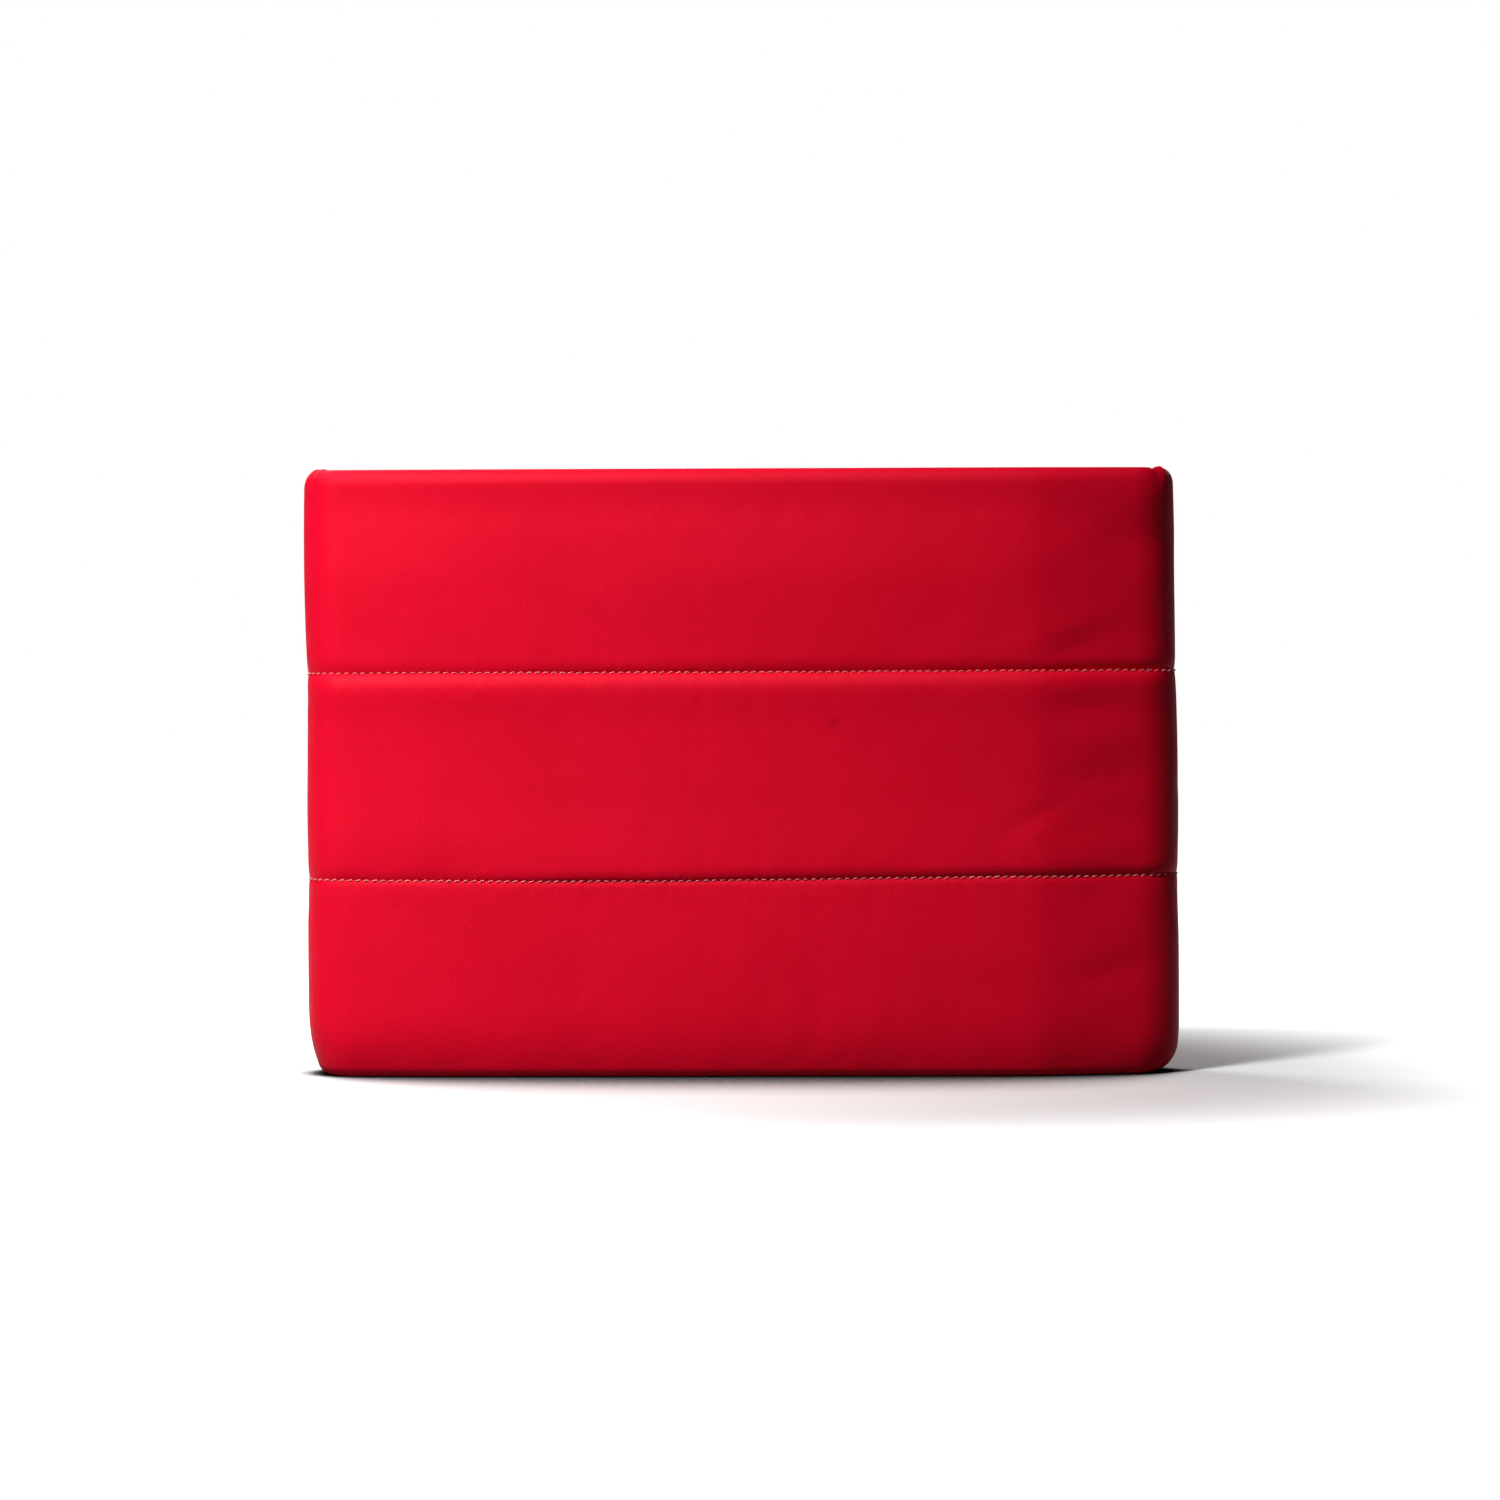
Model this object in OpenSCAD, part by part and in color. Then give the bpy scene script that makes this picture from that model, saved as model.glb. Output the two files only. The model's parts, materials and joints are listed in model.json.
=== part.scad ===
// Padded zip-top case that stands upright: three quilted channels run round it, a padded
// rim frames the mouth, and a recessed zip closes it.
// +X is the width, +Y runs from front to back, +Z is up. The origin is the centre of the base.

/* [Case] */
// Overall width
case_w = 337; // [300:1:400]
// Overall depth, front to back
case_d = 44; // [42:1:60]
// Height of the rim above the floor
case_h = 235; // [215:1:300]
// Radius of the upright corners, seen from above
corner_r = 15; // [13:0.5:18]

/* [Channels] */
// Height of the lower channel, floor to seam
lower_channel_h = 77; // [60:1:90]
// Height of the middle channel, seam to seam
middle_channel_h = 80; // [60:1:95]
// How far a seam is pulled in behind the channels
groove_depth = 2; // [1.5:0.1:3]
// Height over which a channel rolls in to its seam
groove_roll = 4; // [3:0.5:8]
// How far the lower channel rolls in to the base
base_roll_in = 8; // [6:0.5:10]
// Height over which the lower channel rolls in to the base
base_roll_up = 18; // [12:0.5:24]

/* [Layers] */
// Thickness of the cover fabric
cover_t = 0.8; // [0.6:0.1:1.2]
// Thickness of the foam pads in the walls
pad_t = 9; // [7:0.5:10]
// Thickness of the foam pad in the base
base_pad_t = 7; // [4:0.5:10]
// Thickness of the stiff board on the base pad
board_t = 1.5; // [1:0.1:3]
// Thickness of the lining
lining_t = 0.5; // [0.3:0.1:0.8]
// Clearance between one layer and the next
layer_gap = 0.1; // [0.05:0.05:0.2]

/* [Rim] */
// Length along the rim of the tucks of fabric on its four corners
tuck_len = 6.4; // [4:0.2:8]
// Width of the tucks across the rim
tuck_w = 3; // [2:0.1:4]
// Height of the tucks above the rim
tuck_h = 1; // [0.6:0.1:1.5]
// Depth of the nick between a tuck's two pleats
tuck_nick = 0.5; // [0.2:0.1:0.6]

/* [Topstitching] */
// Distance from one stitch to the next
stitch_pitch = 3.2; // [2.5:0.1:4]
// Length of one visible stitch
stitch_len = 2.1; // [1.5:0.1:2.3]
// Thickness of the thread
thread_t = 0.45; // [0.3:0.05:0.5]

/* [Zip] */
// Drop from the rim to the top of the zip tape
zip_drop = 6.2; // [6:0.1:9]
// Thickness of the zip tape
tape_t = 0.8; // [0.5:0.1:1]
// Clearance along the line where the tape is sewn in and folds
fold_gap = 0.3; // [0.2:0.05:0.5]
// Distance from one tooth to the next in a row
tooth_pitch = 2.8; // [2.4:0.1:4]
// Length of a tooth along the zip
tooth_len = 1.5; // [1:0.1:2]
// Reach of a tooth from its tape
tooth_reach = 2.3; // [1.8:0.1:3]
// Height of a tooth
tooth_h = 2.4; // [2:0.1:3]
// Gap between the two rows, where the slider's neck runs
row_gap = 1.2; // [1:0.1:1.6]
// Thickness of each stop at the ends of the zip
stop_len = 1.6; // [1:0.1:2.5]
// Length of the fabric tab on each end of the zip
end_tab_len = 5; // [3:0.5:7]
// Width of the fabric tabs
end_tab_w = 16; // [10:1:18]

/* [Slider and pull] */
// Length of the slider
slider_len = 9.5; // [8:0.5:12]
// Thickness of the slider's two plates
plate_t = 1; // [0.8:0.1:1.4]
// Width of the rails along the slider's sides
rail_w = 1; // [0.8:0.1:1.5]
// Running clearance of the slider on the teeth and the tapes
slider_gap = 0.3; // [0.2:0.05:0.4]
// Thickness of the neck between the slider's plates
neck_t = 0.6; // [0.4:0.05:0.8]
// Thickness of the bail that holds the pull
bail_t = 0.8; // [0.6:0.1:1.2]
// Width of the bail
bail_w = 1.6; // [1.2:0.1:2]
// Radius of the bar on which the pull swings
pull_bar_r = 0.6; // [0.5:0.05:0.8]
// Clearance round that bar
pull_gap = 0.35; // [0.25:0.05:0.45]
// Reach of the pull from its bar
pull_len = 12; // [11:0.5:18]
// Width of the pull
pull_w = 6; // [5.4:0.1:8]

/* [Hidden] */
$fn = 64;

red = "#d01030";
thread_pink = "#e8687c";
foam_grey = "#b8b8b4";
board_black = "#2a2a2c";
lining_grey = "#6e6a6a";
tape_red = "#a50e28";
nickel = "#b9b9bd";

roll_steps = 8; // straight steps in a quarter of a rolled edge
open_end = 1; // margin by which a cutting box passes the solid that it cuts

// Depths into a wall, from its outer face
pad_out = cover_t + layer_gap;
pad_in = pad_out + pad_t;
wall_t = pad_in + layer_gap + lining_t;

// Heights
lower_seam_z = lower_channel_h;
upper_seam_z = lower_channel_h + middle_channel_h;
rim_r = wall_t / 2;
rim_axis_z = case_h - rim_r;
piping_r = rim_r - pad_out;
pad_top_z = rim_axis_z - piping_r - layer_gap;
base_pad_top_z = pad_out + base_pad_t;
board_z = base_pad_top_z + layer_gap;
floor_lining_z = board_z + board_t + layer_gap;
tape_top_z = case_h - zip_drop;
tape_mid_z = tape_top_z - tape_t / 2;
facing_end_z = tape_top_z - tape_t - 1;
lining_top_z = facing_end_z - layer_gap;

// Half sizes of the mouth, and of what is inside the pads
mouth_x = case_w / 2 - wall_t;
mouth_y = case_d / 2 - wall_t;
core_x = case_w / 2 - pad_in;
core_y = case_d / 2 - pad_in;

// The zip: fixed ends under the parked slider, and two tapes that fold between them
teeth_root_y = row_gap / 2 + tooth_reach;
fold_y = mouth_y - fold_gap;
park_x = mouth_x - fold_gap - 0.5 - pull_len;
flap_x = park_x - slider_len / 2 - 0.7;
stop_x = park_x + slider_len / 2 + fold_gap;
end_tooth_count = max(1, floor((stop_x - flap_x - fold_gap) / tooth_pitch - 0.5));
tooth_count = floor(2 * flap_x / tooth_pitch - 0.5);

// The slider and its pull, in heights above the middle of the tape
plate_z = tooth_h / 2 + slider_gap;
slider_w = 2 * (teeth_root_y + slider_gap + rail_w);
pull_axis_z = tape_mid_z + plate_z + plate_t + pull_bar_r + pull_gap;
bail_top_z = pull_axis_z + pull_bar_r + pull_gap + bail_t;
bail_len = 2 * (pull_bar_r + pull_gap + bail_t);
arm_y = bail_w / 2 + pull_gap;
arm_w = 1;
eye_r = norm([bail_len / 2, bail_top_z - pull_axis_z]) + pull_gap;

// Points of a quarter of an ellipse between two angles; u is the depth into the wall
function roll(centre, ru, rz, from, to) = [
    for (i = [0 : roll_steps])
        let (a = from + (to - from) * i / roll_steps)
        [centre[0] + ru * cos(a), centre[1] + rz * sin(a)]
];

// Outline of a channel's outer surface, set in by "inset" all round, as [depth, height] points
function channel_outline(z0, in0, up0, z1, inset) = concat(
    roll([in0, z0 + up0], in0 - inset, up0 - inset, 270, 180),
    roll([groove_depth, z1 - groove_roll], groove_depth - inset, groove_roll - inset, 180, 90)
);

// The upper channel rolls over the rim instead, and comes down inside the mouth
function rim_outline(inset) = concat(
    roll([groove_depth, upper_seam_z + layer_gap / 2 + groove_roll],
        groove_depth - inset, groove_roll - inset, 270, 180),
    roll([rim_r, rim_axis_z], rim_r - inset, rim_r - inset, 180, 0),
    [[wall_t - inset, facing_end_z]]
);

// The strip of fabric between an outer outline and the same outline set in
function skin(outer, inner) = concat(
    outer,
    [for (i = [len(inner) - 1 : -1 : 0]) inner[i]]
);

// Sweeps a [depth, height] section round the case, as four walls and four corners
module sweep_round(section) {
    straight_x = case_w / 2 - corner_r;
    straight_y = case_d / 2 - corner_r;
    corner_section = [for (p = section) [corner_r - p[0], p[1]]];
    for (back = [0, 1])
        mirror([0, back, 0])
        translate([-straight_x, -case_d / 2, 0])
        rotate([90, 0, 90])
        linear_extrude(2 * straight_x) polygon(section);
    for (right = [0, 1])
        mirror([right, 0, 0])
        translate([-case_w / 2, straight_y, 0])
        rotate([90, 0, 0])
        linear_extrude(2 * straight_y) polygon(section);
    for (right = [0, 1], back = [0, 1])
        mirror([right, 0, 0])
        mirror([0, back, 0])
        translate([-straight_x, -straight_y, 0])
        rotate([0, 0, 180])
        rotate_extrude(angle = 90) polygon(corner_section);
}

// The whole space inside an outline, out to the middle of the case
module filled(outline) {
    straight_x = case_w / 2 - corner_r;
    straight_y = case_d / 2 - corner_r;
    first = outline[0];
    last = outline[len(outline) - 1];
    cross_section = concat(
        [for (p = outline) [p[0] - case_d / 2, p[1]]],
        [[0, last[1]], [0, first[1]]]
    );
    end_section = concat(outline, [[corner_r, last[1]], [corner_r, first[1]]]);
    corner_section = [for (p = end_section) [corner_r - p[0], p[1]]];
    for (back = [0, 1])
        mirror([0, back, 0])
        translate([-straight_x, 0, 0])
        rotate([90, 0, 90])
        linear_extrude(2 * straight_x) polygon(cross_section);
    for (right = [0, 1])
        mirror([right, 0, 0])
        translate([-case_w / 2, straight_y, 0])
        rotate([90, 0, 0])
        linear_extrude(2 * straight_y) polygon(end_section);
    for (right = [0, 1], back = [0, 1])
        mirror([right, 0, 0])
        mirror([0, back, 0])
        translate([-straight_x, -straight_y, 0])
        rotate([0, 0, 180])
        rotate_extrude(angle = 90) polygon(corner_section);
}

// A box given by its lowest and highest corners
module box(low, high) {
    translate(low) cube(high - low);
}

// A slab with the case's rounded plan, set in by "inset"
module plan_slab(inset, z0, z1) {
    r = corner_r - inset;
    x = case_w / 2 - corner_r;
    y = case_d / 2 - corner_r;
    box([-x, -y - r, z0], [x, y + r, z1]);
    box([-x - r, -y, z0], [x + r, y, z1]);
    for (sx = [-1, 1], sy = [-1, 1])
        translate([sx * x, sy * y, z0]) cylinder(r = r, h = z1 - z0);
}

/* Cover */

function middle_outline(inset) = channel_outline(
    lower_seam_z + layer_gap / 2, groove_depth, groove_roll, upper_seam_z - layer_gap / 2, inset
);

function lower_outline(inset) = channel_outline(
    0, base_roll_in, base_roll_up, lower_seam_z - layer_gap / 2, inset
);

module cover_upper_band() {
    color(red) sweep_round(skin(rim_outline(0), rim_outline(cover_t)));
}

module cover_middle_band() {
    color(red) sweep_round(skin(middle_outline(0), middle_outline(cover_t)));
}

module cover_lower_band() {
    color(red) sweep_round(skin(lower_outline(0), lower_outline(cover_t)));
}

module cover_base_panel() {
    color(red) plan_slab(base_roll_in + layer_gap, 0, cover_t);
}

// Side of a tuck: two pleats with a nick between them
module tuck_outline() {
    step = tuck_len / 6;
    polygon([
        [-3 * step, 0], [-2 * step, tuck_h], [-step, tuck_h],
        [0, tuck_h - tuck_nick],
        [step, tuck_h], [2 * step, tuck_h], [3 * step, 0]
    ]);
}

// Four small tucks of gathered fabric, where the rim turns its corners
module rim_corner_tucks() {
    turn = (corner_r - rim_r) * sin(45);
    x = case_w / 2 - corner_r + turn;
    y = case_d / 2 - corner_r + turn;
    color(red)
    for (flip_x = [0, 1], flip_y = [0, 1])
        mirror([flip_x, 0, 0])
        mirror([0, flip_y, 0])
        translate([x, y, case_h + layer_gap / 2])
        rotate([0, 0, -45])
        rotate([90, 0, 0])
        linear_extrude(tuck_w, center = true)
        tuck_outline();
}

// A row of separate stitches round the case, in the mouth of a seam's groove
module topstitch(z) {
    depth = groove_depth * 0.4;
    straight_x = case_w / 2 - corner_r;
    straight_y = case_d / 2 - corner_r;
    turn_r = corner_r - depth;
    long_count = floor(2 * straight_x / stitch_pitch);
    short_count = max(1, floor(2 * straight_y / stitch_pitch));
    turn_count = max(1, floor(turn_r * PI / 2 / stitch_pitch));
    for (back = [0, 1], i = [0 : long_count - 1])
        mirror([0, back, 0])
        translate([(i + 0.5 - long_count / 2) * stitch_pitch, depth - case_d / 2, z])
        stitch();
    for (right = [0, 1], i = [0 : short_count - 1])
        mirror([right, 0, 0])
        translate([depth - case_w / 2, (i + 0.5 - short_count / 2) * stitch_pitch, z])
        rotate([0, 0, 90]) mirror([0, 1, 0]) stitch();
    for (right = [0, 1], back = [0, 1], i = [0 : turn_count - 1])
        mirror([right, 0, 0])
        mirror([0, back, 0])
        translate([straight_x, -straight_y, z])
        rotate([0, 0, 90 * (i + 0.5) / turn_count])
        translate([0, -turn_r, 0]) stitch();
}

// One stitch, its outer side on the line that it follows
module stitch() {
    box([-stitch_len / 2, 0, -thread_t / 2], [stitch_len / 2, thread_t, thread_t / 2]);
}

module topstitch_upper() {
    color(thread_pink) topstitch(upper_seam_z);
}

module topstitch_lower() {
    color(thread_pink) topstitch(lower_seam_z);
}

/* Padding */

// A round foam cord inside the rim, all the way round the mouth
module rim_piping() {
    straight_x = case_w / 2 - corner_r;
    straight_y = case_d / 2 - corner_r;
    color(foam_grey) {
        for (s = [-1, 1]) {
            translate([-straight_x, s * (case_d / 2 - rim_r), rim_axis_z])
                rotate([0, 90, 0]) cylinder(r = piping_r, h = 2 * straight_x);
            translate([s * (case_w / 2 - rim_r), straight_y, rim_axis_z])
                rotate([90, 0, 0]) cylinder(r = piping_r, h = 2 * straight_y);
        }
        for (right = [0, 1], back = [0, 1])
            mirror([right, 0, 0])
            mirror([0, back, 0])
            translate([-straight_x, -straight_y, rim_axis_z])
            rotate([0, 0, 180])
            rotate_extrude(angle = 90)
            translate([corner_r - rim_r, 0]) circle(r = piping_r);
    }
}

// The space behind each channel's cover that the pads share
module upper_space() {
    outline = [
        for (p = rim_outline(pad_out))
            if (p[1] < rim_axis_z - rim_r) p
    ];
    filled(concat(outline, [[pad_out, pad_top_z]]));
}

module middle_space() {
    filled(middle_outline(pad_out));
}

module lower_space() {
    filled(lower_outline(pad_out));
}

// The bottom of the lower channel's space, up to the top of the base's pad
module base_space() {
    ru = base_roll_in - pad_out;
    rz = base_roll_up - pad_out;
    rise = (base_roll_up - base_pad_top_z) / rz;
    top_point = [base_roll_in - ru * sqrt(1 - rise * rise), base_pad_top_z];
    outline = [
        for (p = lower_outline(pad_out))
            if (p[1] < base_pad_top_z - layer_gap) p
    ];
    filled(concat(outline, [top_point]));
}

// A pad of the front or back wall, cut from a channel's space
module long_pad(side, floor_z = 0) {
    far = case_d / 2 + open_end;
    wide = case_w / 2 + open_end;
    color(foam_grey)
    intersection() {
        children();
        mirror([0, side > 0 ? 1 : 0, 0])
            box([-wide, -far, floor_z], [wide, -core_y, case_h]);
    }
}

// A pad of an end wall, cut from a channel's space between the front and back pads
module end_pad(side, floor_z = 0) {
    far = case_w / 2 + open_end;
    half = core_y - layer_gap;
    color(foam_grey)
    intersection() {
        children();
        mirror([side > 0 ? 1 : 0, 0, 0])
            box([-far, -half, floor_z], [-core_x, half, case_h]);
    }
}

module front_pad_upper() { long_pad(-1) upper_space(); }
module front_pad_middle() { long_pad(-1) middle_space(); }
module front_pad_lower() { long_pad(-1, board_z) lower_space(); }
module back_pad_upper() { long_pad(1) upper_space(); }
module back_pad_middle() { long_pad(1) middle_space(); }
module back_pad_lower() { long_pad(1, board_z) lower_space(); }
module left_pad_upper() { end_pad(-1) upper_space(); }
module left_pad_middle() { end_pad(-1) middle_space(); }
module left_pad_lower() { end_pad(-1, board_z) lower_space(); }
module right_pad_upper() { end_pad(1) upper_space(); }
module right_pad_middle() { end_pad(1) middle_space(); }
module right_pad_lower() { end_pad(1, board_z) lower_space(); }

module base_pad() {
    color(foam_grey) base_space();
}

module base_board() {
    x = core_x - layer_gap;
    y = core_y - layer_gap;
    color(board_black) box([-x, -y, board_z], [x, y, board_z + board_t]);
}

/* Lining */

module long_lining(side) {
    x = core_x - layer_gap;
    color(lining_grey)
    mirror([0, side > 0 ? 1 : 0, 0])
        box([-x, -mouth_y - lining_t, floor_lining_z], [x, -mouth_y, lining_top_z]);
}

module end_lining(side) {
    y = mouth_y - layer_gap;
    color(lining_grey)
    mirror([side > 0 ? 1 : 0, 0, 0])
        box([-mouth_x - lining_t, -y, floor_lining_z], [-mouth_x, y, lining_top_z]);
}

module lining_front() { long_lining(-1); }
module lining_back() { long_lining(1); }
module lining_left() { end_lining(-1); }
module lining_right() { end_lining(1); }

module lining_base() {
    x = mouth_x - layer_gap;
    y = mouth_y - layer_gap;
    color(lining_grey)
        box([-x, -y, floor_lining_z], [x, y, floor_lining_z + lining_t]);
}

/* Zip */

// The free part of one tape, from the line where it is sewn in to its teeth
module flap_tape(side) {
    color(tape_red)
    mirror([0, side > 0 ? 1 : 0, 0])
        box([-flap_x, -fold_y, tape_top_z - tape_t], [flap_x, -teeth_root_y, tape_top_z]);
}

// A row of teeth along a tape's edge, centred on x; the back row stands half a pitch on
module tooth_row(side, x, count) {
    start = x + (side * 0.5 - count) * tooth_pitch / 2;
    mirror([0, side > 0 ? 1 : 0, 0])
    for (i = [0 : count - 1])
        translate([start + (i + 0.5) * tooth_pitch, 0, tape_mid_z])
        box([-tooth_len / 2, -teeth_root_y, -tooth_h / 2],
            [tooth_len / 2, -row_gap / 2, tooth_h / 2]);
}

module flap_teeth(side) {
    color(tape_red) tooth_row(side, 0, tooth_count);
}

module zip_tape_front() { flap_tape(-1); }
module zip_tape_back() { flap_tape(1); }
module zip_teeth_front() { flap_teeth(-1); }
module zip_teeth_back() { flap_teeth(1); }

// The ends of both tapes, sewn down past the part of the zip that opens
module zip_tape_ends() {
    z0 = tape_top_z - tape_t;
    color(tape_red)
    for (sx = [0, 1], sy = [0, 1])
        mirror([sx, 0, 0])
        mirror([0, sy, 0])
        intersection() {
            plan_slab(wall_t + fold_gap, z0, tape_top_z);
            box([flap_x + fold_gap, teeth_root_y, z0 - open_end],
                [case_w, case_d, tape_top_z + open_end]);
        }
}

module zip_teeth_ends() {
    color(tape_red)
    for (sx = [0, 1], side = [-1, 1])
        mirror([sx, 0, 0])
        tooth_row(side, (flap_x + fold_gap + stop_x) / 2, end_tooth_count);
}

module zip_stops() {
    color(nickel)
    for (s = [0, 1])
        mirror([s, 0, 0])
        box([stop_x, -teeth_root_y, tape_mid_z - tooth_h / 2],
            [stop_x + stop_len, teeth_root_y, tape_mid_z + tooth_h / 2]);
}

module end_tab(side) {
    x = mouth_x - fold_gap;
    z = tape_top_z + layer_gap;
    color(red)
    mirror([side > 0 ? 0 : 1, 0, 0])
    intersection() {
        plan_slab(wall_t + fold_gap, z, z + cover_t);
        box([x - end_tab_len, -end_tab_w / 2, z - open_end],
            [case_w, end_tab_w / 2, z + cover_t + open_end]);
    }
}

module zip_end_tab_left() { end_tab(-1); }
module zip_end_tab_right() { end_tab(1); }

// Outline of the slider's plates: wide at the neck's end, which leads when the zip closes
module slider_outline() {
    x = slider_len / 2;
    y = slider_w / 2;
    cut = rail_w;
    polygon([
        [-x, cut - y], [cut - x, -y], [x - cut, -y], [x, cut - y],
        [x, y - cut], [x - cut, y], [cut - x, y], [-x, y - cut],
    ]);
}

module zip_slider() {
    rail_z = tape_t / 2 + slider_gap;
    rail_x = slider_len / 2 - rail_w;
    rail_y = slider_w / 2;
    color(nickel)
    translate([-park_x, 0, tape_mid_z]) {
        for (under = [0, 1])
            mirror([0, 0, under]) {
                translate([0, 0, plate_z]) linear_extrude(plate_t) slider_outline();
                for (far = [0, 1])
                    mirror([0, far, 0])
                    box([-rail_x, -rail_y, rail_z], [rail_x, rail_w - rail_y, plate_z + plate_t]);
            }
        box([-rail_x, -neck_t / 2, -plate_z - plate_t / 2],
            [rail_w * 2 - rail_x, neck_t / 2, plate_z + plate_t / 2]);
        bail();
    }
}

// An arch over the bar of the pull
module bail() {
    foot_z = plate_z + plate_t / 2;
    top_z = bail_top_z - tape_mid_z;
    for (s = [0, 1])
        mirror([s, 0, 0])
        box([bail_len / 2 - bail_t, -bail_w / 2, foot_z], [bail_len / 2, bail_w / 2, top_z]);
    box([-bail_len / 2, -bail_w / 2, top_z - bail_t], [bail_len / 2, bail_w / 2, top_z]);
}

// The pull lies flat towards the near end of the zip, with its bar through the bail
module zip_pull() {
    t = 2 * pull_bar_r;
    arm_out = arm_y + arm_w;
    color(nickel)
    translate([-park_x, 0, pull_axis_z]) {
        translate([0, arm_out, 0])
            rotate([90, 0, 0]) cylinder(r = pull_bar_r, h = 2 * arm_out);
        for (far = [0, 1])
            mirror([0, far, 0])
            box([-eye_r - open_end, arm_y, -t / 2], [0, arm_out, t / 2]);
        box([pull_w / 2 - pull_len, -pull_w / 2, -t / 2], [-eye_r, pull_w / 2, t / 2]);
        translate([pull_w / 2 - pull_len, 0, -t / 2]) cylinder(r = pull_w / 2, h = t);
    }
}

cover_upper_band();
cover_middle_band();
cover_lower_band();
cover_base_panel();
topstitch_upper();
topstitch_lower();
rim_corner_tucks();
rim_piping();
front_pad_upper();
front_pad_middle();
front_pad_lower();
back_pad_upper();
back_pad_middle();
back_pad_lower();
left_pad_upper();
left_pad_middle();
left_pad_lower();
right_pad_upper();
right_pad_middle();
right_pad_lower();
base_pad();
base_board();
lining_front();
lining_back();
lining_left();
lining_right();
lining_base();
zip_tape_front();
zip_tape_back();
zip_teeth_front();
zip_teeth_back();
zip_tape_ends();
zip_teeth_ends();
zip_stops();
zip_end_tab_left();
zip_end_tab_right();
zip_slider();
zip_pull();
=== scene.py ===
import json
import math

import bmesh
import bpy
import numpy as np
from mathutils import Matrix, Vector

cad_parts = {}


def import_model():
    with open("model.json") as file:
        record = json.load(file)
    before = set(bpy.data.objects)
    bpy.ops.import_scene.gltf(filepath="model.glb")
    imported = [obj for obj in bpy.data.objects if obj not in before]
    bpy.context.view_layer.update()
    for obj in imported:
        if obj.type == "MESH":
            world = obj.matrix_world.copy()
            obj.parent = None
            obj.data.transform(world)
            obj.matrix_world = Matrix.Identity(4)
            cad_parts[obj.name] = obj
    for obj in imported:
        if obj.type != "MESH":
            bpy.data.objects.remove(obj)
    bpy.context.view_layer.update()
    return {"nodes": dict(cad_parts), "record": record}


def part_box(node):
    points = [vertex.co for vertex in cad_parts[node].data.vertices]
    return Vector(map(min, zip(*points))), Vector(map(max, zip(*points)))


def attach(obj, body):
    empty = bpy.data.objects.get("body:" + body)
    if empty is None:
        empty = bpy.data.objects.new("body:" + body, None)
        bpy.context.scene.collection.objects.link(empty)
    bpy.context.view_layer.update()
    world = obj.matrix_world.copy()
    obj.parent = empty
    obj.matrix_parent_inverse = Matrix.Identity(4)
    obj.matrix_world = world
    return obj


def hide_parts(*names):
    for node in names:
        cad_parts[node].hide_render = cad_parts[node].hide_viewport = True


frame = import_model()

MM = 0.001

# ---------------------------------------------------------------- sizes, most of them from the frame

BAND_LOW, BAND_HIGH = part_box("cover_middle_band")
RIM_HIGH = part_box("cover_upper_band")[1]
PAD_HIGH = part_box("front_pad_middle")[1]
TAPE_LOW, TAPE_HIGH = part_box("zip_tape_front")
TAPE_ENDS_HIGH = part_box("zip_tape_ends")[1]
SLIDER_LOW, SLIDER_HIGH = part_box("zip_slider")
PULL_LOW, PULL_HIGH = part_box("zip_pull")
LINING_LOW, LINING_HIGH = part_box("lining_front")

HALF_W = RIM_HIGH[0]
HALF_D = RIM_HIGH[1]
RIM_Z = RIM_HIGH[2]
LOWER_SEAM_Z = BAND_LOW[2]
UPPER_SEAM_Z = BAND_HIGH[2]
CORNER_R = 15 * MM
WALL = HALF_D - abs(LINING_HIGH[1])  # from the outer face to the face of the lining
PAD_DEPTH = PAD_HIGH[1] + HALF_D  # from the outer face to the back of a pad
FACING_END_Z = LINING_HIGH[2]

STITCH_PITCH = 3.2 * MM
COLUMNS_PER_STITCH = 3
SKEW = 0.0044  # how far the case's top runs up to the right, and its outline to the left, in radians
SEED = 7


def smooth(x):
    """0 below 0, 1 above 1, with an even slope at both ends."""
    x = np.clip(x, 0, 1)
    return x * x * (3 - 2 * x)


def bell(x):
    return np.exp(-x * x)


def mirrored(points):
    """The other half of an outline that is even about the line where its second number is 0."""
    return [(a, -b) for a, b in reversed(points)]


# ---------------------------------------------------------------- the plan of the case


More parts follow.
